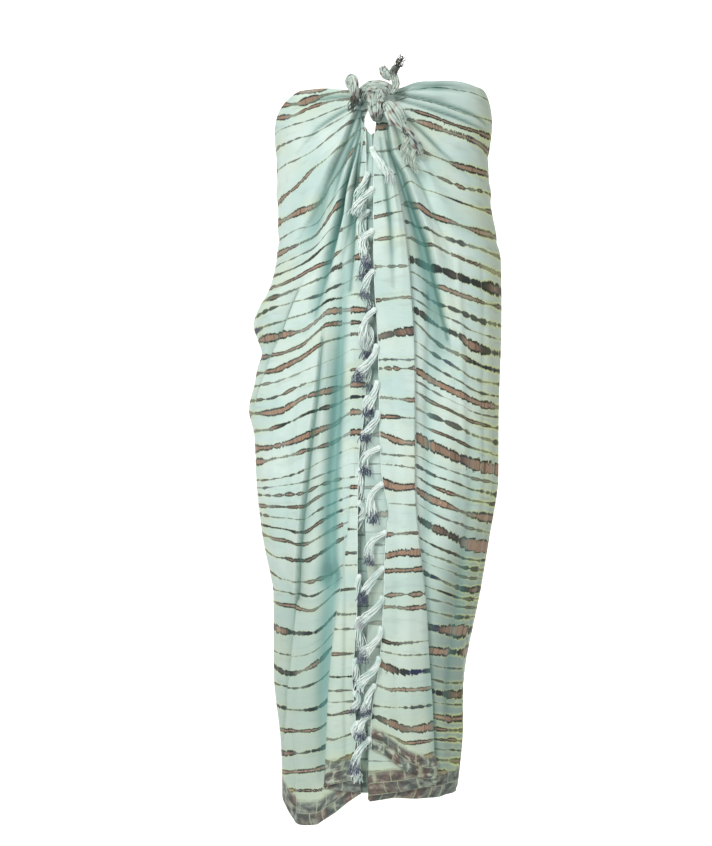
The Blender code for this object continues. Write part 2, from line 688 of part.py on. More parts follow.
def tassel_head(points, faces, root, away, face):
    """The tied head of a tassel. It returns three groups of four points that its locks grow from."""
    middle = np.mean([points[index] for index in root], axis=0)
    up = np.array([0.0, 0.0, 1.0])
    previous = list(root)
    for out, down, forward, bend, size in HEAD_RINGS:
        turn = math.radians(bend)
        half = HEAD_SIZE / 2 * size
        rise = up * math.cos(turn) + away * math.sin(turn)
        centre = middle + away * out - up * down + face * forward
        ring = []
        for near, high in ((-1, -1), (1, -1), (1, 1), (-1, 1)):
            ring.append(len(points))
            points.append(centre + (face * near + rise * high) * half)
        if size == HEAD_RINGS[-1][-1]:
            break
        for step in range(4):
            following = (step + 1) % 4
            faces.append([previous[step], previous[following], ring[following], ring[step]])
        previous = ring
    low_back, low_front, high_front, high_back = ring
    cuts = []
    for first, last in ((low_front, high_front), (low_back, high_back)):
        pair = []
        for share in (1 / 3, 2 / 3):
            pair.append(len(points))
            points.append(points[first] + (points[last] - points[first]) * share)
        cuts.append(pair)
    front_cuts, back_cuts = cuts
    faces.append([previous[0], previous[1], low_front, low_back])
    faces.append([previous[1], previous[2], high_front, front_cuts[1], front_cuts[0], low_front])
    faces.append([previous[2], previous[3], high_back, high_front])
    faces.append([previous[3], previous[0], low_back, back_cuts[0], back_cuts[1], high_back])
    return (
        (low_back, low_front, front_cuts[0], back_cuts[0]),
        (back_cuts[0], front_cuts[0], front_cuts[1], back_cuts[1]),
        (back_cuts[1], front_cuts[1], high_front, high_back),
    )


def make_fringe(side, grid, normals, tassels, material):
    """The tassels of one fringed edge, on the narrow strip that carries them."""
    foot = STRIP_FOOT[side]
    heights = strip_heights(grid, tassels, foot)
    points = []
    faces = []
    for height in heights:
        place, face, away = edge_station(grid, normals, height)
        near = place + away * EDGE_GAP
        far = near + away * STRIP_WIDTH
        half = face * STRIP_THICKNESS / 2
        points += [near - half, near + half, far + half, far - half]
    roots = {round(tassel[0] + ROOT_LENGTH / 2, 3): tassel for tassel in tassels}
    for station, height in enumerate(heights[:-1]):
        low = 4 * station
        high = low + 4
        for step in range(4):
            following = (step + 1) % 4
            if step == 2 and round(height, 3) in roots:
                continue
            faces.append([low + step, low + following, high + following, high + step])
        tassel = roots.get(round(height, 3))
        if tassel:
            _, across, forward, drop = tassel
            _, face, away = edge_station(grid, normals, height)
            root = (high + 3, high + 2, low + 2, low + 3)
            parts = tassel_head(points, faces, root, away, face)
            for lock, group in enumerate(parts):
                start = np.mean([points[index] for index in group], axis=0)
                aside = away * LOCK_SPREAD * (lock - 1)
                swing = np.array([across, -forward, -drop])
                ends = []
                for share, _ in LOCK_RINGS:
                    swung = math.sin(share * math.pi / 2)
                    sway = np.array([swung, swung, share**LOCK_DROP_CURVE])
                    ends.append(start + swing * sway + aside * math.sqrt(share))
                add_lock(points, faces, group, ends)
    last = 4 * (len(heights) - 1)
    faces.append([0, 1, 2, 3])
    faces.append([last + 3, last + 2, last + 1, last])
    new_object(f"fringe_{side}", points, faces, material)


def make_material(name, colour, roughness):
    """A plain matt finish for one kind of piece."""
    material = bpy.data.materials.new(name)
    material.use_nodes = True
    shader = material.node_tree.nodes["Principled BSDF"]
    shader.inputs["Base Color"].default_value = (*colour, 1)
    shader.inputs["Roughness"].default_value = roughness
    shader.inputs["Metallic"].default_value = 0.0
    material.diffuse_color = (*colour, 1)
    return material


def main():
    for old in list(bpy.data.objects):
        bpy.data.objects.remove(old)
    cloth = make_material("aqua_rayon", (0.60, 0.78, 0.73), 0.75)
    gathered = make_material("gathered_rayon", (0.42, 0.50, 0.48), 0.8)
    yarn = make_material("fringe_yarn", (0.70, 0.82, 0.80), 0.85)
    left, left_normals = make_cloth("left", cloth)
    right, right_normals = make_cloth("right", cloth)
    middle = knot_middle(left, right)
    make_knot(middle, gathered)
    make_tail("tail_left", LEFT_TAIL, LEFT_TAIL_LOCKS, middle, gathered)
    make_tail("tail_up", UP_TAIL, UP_TAIL_LOCKS, middle, gathered)
    make_tail("tail_up_lobe", UP_LOBE, (), middle, gathered)
    make_tail("tail_right", RIGHT_TAIL, RIGHT_TAIL_LOCKS, middle, gathered)
    make_fringe("left", left, left_normals, LEFT_TASSELS, yarn)
    make_fringe("right", right, right_normals, RIGHT_TASSELS, yarn)


main()
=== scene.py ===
"""Looks of a thin tie-dyed rayon sarong, tied at the chest, with yarn tassels down its open front.

The cloth's shape is worked out from the garment's own sections, edges, pleats and folds, as in its
solids, on a finer grid and with narrower folds besides. Every size is in millimetres and MM makes it
metres. X is across, positive to the right of someone looking at the front, -Y is the front and Z is up.
Around the body, an angle is measured in degrees from the centre front, positive to the right.
"""

import math

import bpy
import numpy as np
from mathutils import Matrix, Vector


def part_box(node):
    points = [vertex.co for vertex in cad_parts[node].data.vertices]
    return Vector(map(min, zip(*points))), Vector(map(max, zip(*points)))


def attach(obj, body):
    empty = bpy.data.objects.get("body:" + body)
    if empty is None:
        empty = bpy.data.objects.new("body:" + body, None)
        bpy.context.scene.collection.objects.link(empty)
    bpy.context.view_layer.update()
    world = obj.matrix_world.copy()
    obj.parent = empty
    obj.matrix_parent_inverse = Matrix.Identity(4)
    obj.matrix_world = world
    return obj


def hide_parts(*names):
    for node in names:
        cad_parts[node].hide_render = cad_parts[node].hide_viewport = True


MM = 0.001

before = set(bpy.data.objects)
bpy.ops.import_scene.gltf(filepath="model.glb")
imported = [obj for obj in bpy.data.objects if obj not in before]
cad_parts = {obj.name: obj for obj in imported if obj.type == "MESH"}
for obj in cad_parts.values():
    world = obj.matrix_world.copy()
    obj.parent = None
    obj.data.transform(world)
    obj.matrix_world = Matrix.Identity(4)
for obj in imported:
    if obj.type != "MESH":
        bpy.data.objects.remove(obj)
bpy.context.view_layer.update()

THICKNESS = 0.5     # of the cloth's shell
GIRTH_RADIUS = 150  # turns an angle into a length round the body, for the folds' widths
TURN_LENGTH = 7.0   # cloth taken up by one turn of a pleat
SEED = 11

# The garment's horizontal sections, from the centre of the body to each side
SECTIONS = (
    # height, left, right, front, back
    (20, 150, 165, 112, 96),
    (-40, 155, 171, 114, 98),
    (-90, 153, 166, 117, 100),
    (-150, 150, 168, 120, 104),
    (-240, 152, 184, 122, 114),
    (-330, 174, 185, 121, 125),
    (-465, 184, 181, 119, 138),
    (-575, 182, 180, 118, 142),
    (-660, 172, 166, 116, 138),
    (-735, 157, 153, 114, 134),
    (-870, 156, 125, 110, 126),
    (-960, 146, 122, 108, 122),
    (-1070, 143, 108, 108, 120),
)

TOP_EDGE = (
    # angle, height
    (-180, -42), (-120, -44), (-95, -50), (-84, -44), (-73, -24), (-62, -11), (-49, 0), (-33, 0),
    (-19, -4), (-8, -9), (3, -9), (9, -4), (19, 7), (29, 10), (44, 13), (58, 10), (73, 3), (84, -20),
    (97, -44), (120, -45), (180, -42),
)

HEM = (
    # angle, height
    (-180, -1056), (-130, -1052), (-90, -1042), (-73, -1052), (-62, -1064), (-50, -1069), (-37, -1067),
    (-32, -1058), (-22, -1041), (-17, -1029), (-8, -1020), (0, -1030), (7, -1026), (37, -1031),
    (64, -1029), (80, -1022), (110, -1040), (150, -1052), (180, -1056),
)

# Each front, from its fringed edge to the pleat that turns back under it. The turn is 0 where the cloth
# is flat and 180 where it is folded back. The overlap is how far the hidden layer reaches back.
LEFT_FRONT = (
    # height, fringed edge across, pleat across, turn, overlap
    (10, -12, -20, 0, 1.5),
    (-30, -14, -23, 0, 1.5),
    (-47, -21, -27, 0, 1.5),
    (-66, -20, -28, 0, 1.5),
    (-93, -19, -29, 0, 2),
    (-150, -19, -34, 0, 3),
    (-280, -19, -40, 0, 4),
    (-460, -20, -41, 0, 4),
    (-520, -28, -41, 10, 3),
    (-610, -30, -42, 60, 2),
    (-666, -30, -46, 130, 3),
    (-721, -30, -53, 172, 8),
    (-795, -33, -65, 180, 16),
    (-849, -37, -71, 180, 24),
    (-930, -32, -75, 180, 36),
    (-1015, -42, -78, 180, 48),
)
RIGHT_FRONT = (
    # height, fringed edge across, pleat across, turn, overlap
    (10, 1, 8, 0, 1.5),
    (-30, -1, 9, 0, 1.5),
    (-47, -3, 12, 0, 1.5),
    (-78, -7, 16, 10, 2),
    (-123, -7, 23, 40, 2),
    (-162, -7, 29, 95, 2),
    (-212, -7, 36, 140, 3),
    (-279, -6, 43, 172, 6),
    (-368, -1, 49, 180, 30),
    (-466, 1, 50, 180, 54),
    (-572, 6, 50, 180, 66),
    (-609, 14, 52, 180, 68),
    (-650, 10, 56, 180, 70),
    (-736, 7, 67, 180, 78),
    (-822, 2, 73, 180, 84),
    (-905, -10, 79, 180, 88),
    (-1000, -8, 82, 180, 90),
)
TURN_AT_TOP = 0.36   # share of the turn's length at the knot, where the cloth is gathered
FULL_TURN_AT = -220  # height below which a turn has its whole length
LEAST_TURN = 0.5     # degrees, so that a flat stretch still has a radius
TUCK = 3.5           # how far the layer behind a pleat runs on before the open cloth starts
LEAST_OPEN = 2.5     # degrees between that layer and the line the gathers follow
WIDEST = 0.98        # share of the half width up to which a place across the front has an angle

PANEL_OUTER = {"left": -80, "right": 82}  # how far across each panel's hem reaches at the pleat
FOLD_AT_HEM = {"left": -8, "right": 0}    # degrees from the front of each pleat's inner fold at the hem
HEM_READ_AT = -1000                       # height at which the hem's columns are read
HEM_RADIUS = 145                          # of the front at the hem
LEFT_PANEL_HEM = ((-80, -1010), (-42, -999))
RIGHT_PANEL_HEM = ((-8, -954), (10, -961), (29, -975), (52, -989), (82, -1000))

# Folds. A valley goes in, a ridge comes out, and at a step the named side stands in front of the other.
# Depth and width are given at both ends of the line and in its middle.
STEP_REACH = 4  # how many times its width a step's lift and drop spread to each side
MAIN_FOLDS = (
    # name, kind, depths, widths, line of angle and height
    ("left_gather_high", "step_left", (8, 16, 5), (2.5, 3.5, 9),
     ((-10, -24), (-15, -52), (-19, -79), (-26, -111), (-32, -141), (-37, -160), (-45, -190))),
    ("left_gather_soft", "valley", (6, 10, 3), (8, 16, 24),
     ((-33, -150), (-41, -200), (-47, -240))),
    ("left_gather_deep", "valley", (7, 22, 8), (2.5, 5.5, 11),
     ((-9, -50), (-14, -102), (-20, -148), (-22, -181), (-28, -235), (-31, -280), (-33, -330))),
    ("left_inner", "valley", (4, 11, 7), (3, 5, 7), ((-9, -80), (-12, -134), (-14, -192), (-15, -294))),
    ("left_trough", "valley", (6, 20, 17), (7, 11, 15),
     ((-19, -265), (-18, -338), (-19, -390), (-20, -456), (-22, -530), (-25, -640), (-27, -705))),
    ("left_trough_low", "valley", (12, 14, 8), (16, 16, 14),
     ((-27, -705), (-31, -800), (-34, -900), (-36, -1000))),
    ("left_crease_high", "step_left", (4, 10, 9), (2.4, 2.2, 2.4),
     ((-28, -365), (-30, -450), (-36, -576), (-41, -647), (-50, -739))),
    ("left_crease_low", "step_right", (4, 11, 11), (2.4, 2.4, 3),
     ((-50, -750), (-54, -849), (-59, -894), (-70, -960))),
    ("left_side_edge", "step_right", (4, 9, 4), (4, 3, 5),
     ((-45, -295), (-52, -352), (-60, -385), (-72, -450))),
    ("left_side_swag", "ridge", (6, 13, 8), (20, 22, 26), ((-70, -300), (-95, -335), (-125, -350))),
    ("left_side_swag_low", "ridge", (5, 11, 8), (26, 28, 30), ((-66, -440), (-94, -465), (-130, -490))),
    ("left_side_hollow", "valley", (3, 8, 4), (14, 16, 20), ((-66, -372), (-92, -385), (-120, -400))),
    ("left_hem_belly", "ridge", (4, 9, 12), (20, 24, 26), ((-42, -800), (-46, -930), (-48, -1069))),
    ("right_gather_1", "valley", (4, 6, 3), (2, 3.5, 5),
     ((8, -11), (22, -16), (36, -24), (56, -34), (70, -43))),
    ("right_gather_2", "valley", (3, 4, 1.5), (2, 3, 5), ((9, -6), (26, -1), (48, 0))),
    ("right_gather_3", "valley", (3, 5, 2), (2, 3.5, 6), ((8, -18), (26, -31), (50, -45), (74, -56))),
    ("right_overlap", "step_right", (7, 18, 7), (2, 2.6, 5),
     ((5, -60), (7, -98), (13, -127), (18, -174), (23, -221), (26, -266), (30, -310), (34, -362))),
    ("right_overlap_trough", "valley", (3, 9, 4), (3, 9, 16),
     ((4, -80), (10, -127), (15, -174), (19, -221), (22, -270), (25, -330))),
    ("right_soft_1", "valley", (3, 7, 3), (12, 14, 18), ((28, -290), (28, -380), (29, -480))),
    ("right_soft_2", "ridge", (2, 6, 3), (12, 16, 20), ((33, -420), (34, -560), (40, -700))),
    ("right_soft_3", "valley", (3, 8, 7), (16, 20, 20), ((48, -480), (52, -700), (58, -900))),
    ("right_soft_4", "valley", (2, 5, 5), (12, 14, 16), ((70, -360), (74, -560), (78, -800))),
    ("right_under", "valley", (2, 7, 8), (10, 14, 16), ((20, -450), (26, -700), (42, -960))),
    ("right_hem_turn", "ridge", (3, 8, 9), (16, 18, 18), ((76, -860), (72, -950), (68, -1030))),
    ("right_side_wave", "ridge", (3, 8, 10), (18, 20, 20), ((100, -560), (104, -760), (102, -1030))),
    ("left_back_1", "valley", (3, 10, 14), (20, 22, 22), ((-112, -300), (-115, -600), (-112.5, -1050))),
    ("left_back_2", "ridge", (2, 9, 13), (18, 20, 22), ((-133, -240), (-131, -620), (-135, -1050))),
    ("left_back_3", "valley", (2, 10, 14), (16, 20, 20), ((-149, -180), (-147, -600), (-150, -1050))),
    ("left_back_4", "ridge", (2, 6, 12), (14, 18, 20), ((-167, -260), (-163, -640), (-165, -1050))),
    ("right_back_1", "valley", (2, 10, 14), (18, 20, 22), ((122, -280), (118, -620), (120, -1050))),
    ("right_back_2", "ridge", (2, 9, 13), (16, 20, 20), ((138, -200), (137, -600), (135, -1050))),
    ("right_back_3", "valley", (2, 10, 13), (16, 18, 20), ((156, -240), (155, -640), (157.5, -1050))),
    ("right_back_4", "ridge", (1, 5, 11), (14, 18, 20), ((171, -320), (174, -640), (172.5, -1050))),
    ("back_swag_left", "valley", (2, 7, 2), (12, 14, 12), ((-105, -130), (-140, -170), (-176, -185))),
    ("back_swag_right", "valley", (2, 7, 2), (12, 14, 12), ((105, -140), (140, -185), (176, -190))),
)

# Narrower folds that only the finer shell shows
FINE_FOLDS = (
    # name, kind, depths, widths, line of angle and height
    ("left_top_1", "valley", (4.1, 4.5, 1.2), (2.5, 4, 8),
     ((-9, -14), (-20, -14), (-36, -16), (-55, -26))),
    ("left_top_2", "ridge", (2.4, 4.1, 1.1), (2.5, 4, 9),
     ((-9, -18), (-22, -22), (-40, -32), (-58, -48))),
    ("left_top_3", "valley", (4.1, 5.1, 1.6), (2.5, 5, 11),
     ((-9, -24), (-20, -36), (-36, -58), (-52, -92))),
    ("left_top_4", "ridge", (3, 4.5, 1.6), (3, 6, 14), ((-9, -30), (-17, -48), (-30, -86), (-42, -132))),
    ("left_gather_1", "valley", (4.1, 7, 2), (2.5, 5, 12),
     ((-9, -36), (-13, -70), (-22, -118), (-31, -190))),
    ("left_gather_2", "ridge", (2, 6.1, 2), (2.5, 5, 10),
     ((-10, -60), (-14, -110), (-20, -190), (-25, -265))),
    ("left_gather_3", "valley", (3, 6.1, 2), (2, 4, 9),
     ((-9, -66), (-12, -110), (-16, -190), (-21, -262))),
    ("left_gather_4", "ridge", (2, 5.3, 2.4), (2, 3.5, 6),
     ((-8, -72), (-10, -120), (-12, -200), (-13, -300))),
    ("left_long_1", "ridge", (2.2, 5.2, 2.2), (5, 7, 10),
     ((-25, -300), (-25, -420), (-27, -560), (-32, -690))),
    ("left_long_2", "valley", (1.5, 3.6, 1.5), (5, 7, 10),
     ((-37, -340), (-42, -470), (-50, -610), (-58, -740))),
    ("left_long_3", "ridge", (1.5, 3.3, 1.5), (7, 9, 12),
     ((-48, -400), (-56, -520), (-62, -680), (-66, -820))),
    ("left_low_1", "valley", (1, 3, 4), (8, 10, 11), ((-40, -760), (-42, -880), (-43, -1040))),
    ("left_low_2", "valley", (1, 3, 5), (8, 10, 12), ((-60, -880), (-60, -960), (-58, -1050))),
    ("left_panel_wave", "valley", (0.6, 1.8, 1.2), (3, 4, 5), ((-17, -640), (-18, -800), (-19, -990))),
    ("right_top_1", "ridge", (2, 4.5, 1.2), (2, 3.5, 6), ((8, -8), (24, -9), (42, -12), (62, -18))),
    ("right_top_2", "valley", (2, 4.1, 1.2), (2, 3, 5), ((8, -3), (20, 3), (38, 6), (58, 3))),
    ("right_top_3", "ridge", (2, 4.1, 1.2), (2, 3.5, 6), ((8, -14), (24, -22), (44, -34), (64, -46))),
    ("right_top_4", "ridge", (2, 4.5, 1.6), (2, 4, 9), ((8, -22), (22, -40), (42, -62), (64, -84))),
    ("right_top_5", "valley", (3, 5.3, 1.6), (2.5, 5, 12), ((7, -28), (18, -56), (34, -92), (54, -128))),
    ("right_gather_4", "ridge", (3, 6.1, 2), (3, 6, 14), ((6, -36), (13, -76), (24, -124), (36, -190))),
    ("right_gather_5", "valley", (3, 5.3, 2), (3, 6, 14), ((6, -44), (12, -90), (23, -150), (34, -240))),
    ("right_inner_1", "ridge", (2, 5.3, 2), (2, 3.5, 6), ((2, -64), (5, -120), (8, -190), (10, -280))),
    ("right_inner_2", "valley", (2, 5.3, 2), (2, 3.5, 6), ((1, -76), (3, -130), (5, -200), (6, -290))),
    ("right_long_1", "valley", (2.2, 5.2, 2.2), (5, 7, 9),
     ((24, -300), (23, -400), (24, -520), (26, -640))),
    ("right_long_2", "ridge", (1.5, 3.9, 1.8), (5, 7, 10),
     ((38, -240), (39, -340), (42, -470), (46, -640))),
    ("right_long_3", "valley", (1.5, 3.3, 1.5), (6, 8, 11),
     ((56, -260), (58, -420), (62, -600), (66, -780))),
    ("right_low_1", "ridge", (1, 2.6, 3), (6, 8, 10), ((44, -760), (48, -880), (52, -1020))),
    ("right_panel_1", "valley", (0.8, 2, 1.4), (5, 7, 8), ((6, -420), (8, -600), (10, -780), (12, -960))),
    ("right_panel_2", "ridge", (0.6, 1.8, 2), (5, 7, 9),
     ((11, -520), (14, -700), (20, -900), (22, -980))),
    ("back_long_1", "ridge", (1, 3, 3.5), (9, 10, 12), ((-122, -420), (-123, -700), (-124, -1040))),
    ("back_long_2", "valley", (1, 3, 3.5), (9, 10, 12), ((-141, -380), (-141, -700), (-142, -1040))),
    ("back_long_3", "valley", (1, 3, 3.5), (9, 10, 12), ((-174, -420), (-175, -720), (-176, -1040))),
    ("back_long_4", "valley", (1, 3, 3.5), (9, 10, 12), ((166, -360), (165, -700), (165, -1040))),
    ("back_long_5", "ridge", (1, 3, 3.5), (9, 10, 12), ((146, -380), (146, -720), (147, -1040))),
    ("back_long_6", "valley", (1, 3, 3.5), (9, 10, 12), ((128, -340), (127, -700), (127, -1040))),
    ("left_drag_1", "valley", (0.6, 2.6, 0.8), (6, 8, 12), ((-62, -60), (-88, -92), (-120, -112))),
    ("left_drag_2", "ridge", (0.6, 2.4, 0.8), (6, 9, 12), ((-58, -104), (-86, -142), (-122, -164))),
    ("left_drag_3", "valley", (0.6, 3, 0.8), (8, 10, 14), ((-56, -170), (-84, -210), (-120, -238))),
    ("right_drag_1", "valley", (0.6, 2.6, 0.8), (6, 8, 12), ((62, -64), (88, -90), (122, -108))),
    ("right_drag_2", "ridge", (0.6, 2.4, 0.8), (6, 9, 12), ((60, -112), (88, -140), (124, -160))),
    ("right_drag_3", "valley", (0.6, 3, 0.8), (8, 10, 14), ((60, -190), (88, -218), (122, -236))),
)

# Columns of the shell in each stretch, from the fringed edge to the centre back
STRETCHES = (
    # name, columns
    ("panel", 24), ("first_turn", 7), ("hidden", 8), ("second_turn", 6), ("under", 3),
    ("to_gather", 36), ("to_side", 68), ("to_back", 46),
)
LEFT_GATHER = ((10, -10), (-50, -11), (-102, -15), (-181, -23), (-280, -31), (-400, -31), (-640, -38),
               (-800, -50), (-960, -58), (-1070, -58))
RIGHT_GATHER = ((10, 10), (-60, 8), (-98, 12), (-146, 17), (-221, 24), (-310, 31), (-480, 33), (-800, 50),
                (-960, 58), (-1070, 62))
GATHER_EASE = 0.55  # how closely the columns crowd towards the gather's line
TOP_ROWS = 84       # closer rows near the knot
TOP_SHARE = 0.25    # share of the cloth's height that the top rows cover
LOW_ROWS = 140

# The shade painted into the folds: teal in their depths and lines along sharp creases
FOLD_SHADE_DEPTH = 16    # how deep a fold lies where its painted teal shade is strongest
BACK_SHADE = 0.55        # share of that painted teal shade on the back's soft folds
BACK_SHADE_FROM = 100    # degrees from the front
SHARP_WIDTH = 4.5        # folds narrower than this have a painted shade line along their bottom
SHARP_DEPTH = 5.0        # depth at which that line is strongest
CREASE_HALF_WIDTH = 2.6
STEP_SHADE = 0.6         # how strong the painted soft shade beside a step's foot is
STEP_SHADE_REACH = 11    # how far that shade spreads

# The fringed edges ripple between their tassels
RIPPLE = {"left": (1.6, 54), "right": (1.8, 52)}  # depth and length of one ripple
RIPPLE_REACH = 14                                  # how far in from the edge a ripple fades

# Dye stripes, from the top edge to the hem: each has its finish, its half width and its height at a few
# places round the body. A bare row only keeps both sides in step where they meet at the back.
LEFT_PLACES = (-88, -50, -38, -25, -12)
LEFT_STRIPES = (
    # finish, half width, heights at the side, the flank, the crease, the trough and the fringed edge
    ("brown", 3.0, -5, -18, -14, -8, -5),
    ("brown", 2.2, -30, -34, -26, -20, -18),
    ("thin", 0.9, -54, -48, -44, -33, -23),
    ("thin", 1.1, -78, -70, -65, -51, -35),
    ("thin", 1.1, -111, -98, -89, -70, -45),
    ("brown", 2.6, -160, -136, -118, -97, -62),
    ("brown", 2.8, -187, -177, -167, -127, -83),
    ("thin", 0.9, -216, -201, -191, -155, -111),
    ("brown", 3.0, -237, -222, -210, -174, -136),
    ("thin", 0.9, -254, -240, -229, -197, -169),
    ("dark", 1.6, -268, -256, -242, -215, -191),
    ("brown", 1.8, -288, -274, -261, -244, -218),
    ("dark", 2.4, -310, -291, -282, -263, -246),
    ("olive", 1.4, -328, -309, -304, -292, -274),
    ("dark", 2.2, -346, -334, -326, -308, -300),
    ("brown", 3.2, -362, -356, -350, -325, -322),
    ("brown", 2.0, -389, -382, -371, -343, -340),
    ("brown", 2.4, -413, -404, -390, -367, -356),
    ("thin", 1.2, -431, -422, -411, -397, -378),
    ("dots", 1.6, -453, -444, -430, -420, -408),
    ("brown", 3.0, -471, -467, -450, -439, -429),
    ("dark", 1.8, -498, -488, -475, -462, -447),
    ("brown", 2.8, -523, -516, -507, -491, -468),
    ("brown", 2.4, -544, -534, -527, -516, -498),
    ("dots", 1.2, -572, -564, -556, -537, -520),
    ("thin", 0.9, -582, -576, -571, -557, -543),
    ("dots", 1.6, -592, -589, -586, -571, -562),
    ("brown", 1.8, -607, -607, -606, -584, -576),
    ("dots", 1.0, -620, -623, -624, -603, -589),
    ("dark", 1.4, -635, -640, -643, -619, -604),
    ("brown", 2.0, -649, -657, -660, -640, -624),
    ("dark", 1.6, -671, -684, -684, -662, -641),
    ("brown", 1.8, -703, -716, -715, -700, -679),
    ("olive", 1.2, -731, -734, -735, -715, -698),
    ("brown", 1.8, -751, -753, -756, -730, -713),
    ("bare", 0, -769, -772, -772, -746, -730),
    ("dark", 3.0, -787, -791, -790, -762, -748),
    ("bare", 0, -805, -808, -803, -774, -761),
    ("thin", 1.0, -823, -824, -817, -786, -775),
    ("dark", 2.6, -845, -850, -836, -806, -798),
    ("olive", 1.2, -872, -872, -864, -838, -828),
    ("bare", 0, -889, -888, -884, -858, -853),
    ("dark", 2.6, -906, -903, -900, -878, -876),
    ("bare", 0, -924, -918, -915, -894, -892),
    ("brown", 1.8, -942, -934, -930, -911, -910),
    ("bare", 0, -960, -949, -945, -928, -928),
    ("dark", 2.2, -978, -965, -959, -945, -945),
    ("brown", 2.2, -1006, -993, -988, -976, -976),
    ("brown", 2.4, -1034, -1021, -1018, -1008, -1008),
)
RIGHT_PLACES = (15, 29, 47, 86)
RIGHT_STRIPES = (
    # finish, half width, heights by the pleat, at its shoulder, at the flank and at the side
    ("dots", 0.5, -6, 1, 0, -9),
    ("thin", 1.0, -16, -24, -34, -36),
    ("brown", 1.8, -33, -45, -55, -60),
    ("brown", 3.2, -47, -57, -68, -84),
    ("brown", 2.0, -84, -100, -112, -117),
    ("dots", 1.4, -115, -129, -142, -145),
    ("brown", 1.6, -138, -153, -166, -172),
    ("brown", 3.0, -168, -188, -201, -209),
    ("olive", 2.0, -195, -214, -227, -240),
    ("brown", 2.6, -219, -234, -251, -266),
    ("dark", 3.8, -250, -265, -279, -290),
    ("brown", 2.2, -268, -289, -304, -314),
    ("olive", 1.8, -290, -313, -331, -341),
    ("thin", 1.0, -305, -327, -350, -360),
    ("dark", 3.6, -320, -344, -371, -382),
    ("dark", 2.4, -336, -371, -395, -408),
    ("olive", 1.6, -364, -390, -418, -427),
    ("olive", 1.2, -384, -408, -434, -446),
    ("brown", 3.0, -406, -429, -450, -462),
    ("thin", 0.9, -421, -443, -466, -477),
    ("brown", 1.5, -437, -459, -480, -492),
    ("olive", 2.0, -460, -479, -499, -515),
    ("dark", 1.2, -480, -500, -518, -534),
    ("bold", 5.2, -500, -523, -542, -556),
    ("thin", 1.0, -528, -548, -563, -575),
    ("olive", 1.6, -543, -563, -579, -591),
    ("brown", 1.6, -557, -580, -594, -606),
    ("brown", 3.2, -577, -599, -615, -628),
    ("thin", 1.0, -594, -618, -634, -648),
    ("bold", 5.0, -615, -637, -657, -670),
    ("dark", 1.2, -641, -662, -679, -690),
    ("olive", 1.8, -659, -677, -692, -704),
    ("thin", 1.0, -672, -690, -705, -717),
    ("dark", 2.2, -688, -706, -723, -733),
    ("dark", 1.6, -709, -723, -737, -747),
    ("thin", 0.9, -729, -738, -750, -760),
    ("olive", 1.6, -746, -756, -766, -774),
    ("bold", 4.6, -771, -779, -786, -794),
    ("bold", 3.4, -806, -813, -818, -826),
    ("thin", 0.9, -824, -831, -841, -850),
    ("thin", 1.1, -845, -852, -862, -872),
    ("dark", 3.4, -862, -868, -879, -889),
    ("thin", 1.1, -877, -882, -893, -904),
    ("brown", 3.2, -899, -904, -914, -925),
    ("brown", 2.0, -920, -923, -931, -943),
    ("brown", 1.8, -939, -941, -946, -959),
    ("thin", 0.9, -953, -955, -960, -974),
    ("dark", 2.2, -970, -972, -976, -990),
    ("brown", 2.2, -986, -988, -994, -1008),
)
# The same for the two front panels, which the turned pleats part from the cloth beside them
RIGHT_PANEL_PLACES = (-2, 8, 16)
RIGHT_PANEL_STRIPES = (
    # finish, half width, heights at the fringed edge, in the middle and at the pleat
    ("dark", 1.6, -14, -10, -6),
    ("brown", 1.0, -24, -22, -16),
    ("brown", 1.8, -38, -36, -33),
    ("brown", 2.4, -60, -56, -47),
    ("brown", 2.0, -96, -92, -84),
    ("thin", 1.0, -130, -128, -115),
    ("thin", 1.0, -171, -160, -143),
    ("brown", 1.6, -191, -184, -177),
    ("thin", 1.1, -223, -218, -214),
    ("thin", 1.3, -262, -261, -260),
    ("bare", 0, -286, -284, -282),
    ("brown", 1.7, -309, -306, -304),
    ("bare", 0, -336, -331, -329),
    ("dark", 2.6, -364, -356, -353),
    ("bare", 0, -380, -376, -375),
    ("olive", 1.0, -394, -394, -393),
    ("dots", 1.8, -407, -406, -406),
    ("bare", 0, -427, -428, -430),
    ("brown", 1.6, -447, -450, -453),
    ("dark", 1.2, -474, -476, -477),
    ("brown", 2.2, -497, -510, -514),
    ("thin", 0.9, -528, -531, -533),
    ("thin", 1.1, -542, -545, -548),
    ("brown", 3.0, -565, -576, -575),
    ("thin", 1.0, -600, -601, -602),
    ("bare", 0, -622, -621, -622),
    ("brown", 1.6, -646, -644, -642),
    ("bare", 0, -662, -657, -655),
    ("brown", 3.0, -680, -671, -669),
    ("brown", 1.6, -698, -696, -695),
    ("bare", 0, -716, -715, -714),
    ("dots", 1.6, -733, -731, -730),
    ("brown", 1.8, -747, -748, -750),
    ("bare", 0, -770, -774, -774),
    ("dark", 1.2, -792, -801, -800),
    ("olive", 1.0, -808, -815, -818),
    ("dark", 3.0, -825, -839, -843),
    ("bare", 0, -842, -853, -856),
    ("brown", 1.8, -859, -868, -868),
    ("bare", 0, -874, -880, -880),
    ("olive", 1.2, -890, -892, -893),
    ("dark", 2.6, -906, -916, -925),
    ("brown", 1.4, -931, -934, -944),
    ("dark", 2.2, -950, -951, -968),
)
LEFT_PANEL_PLACES = (-25, -12)
LEFT_PANEL_FROM = 30    # how many stripes from the top the left panel shares with the cloth beside it
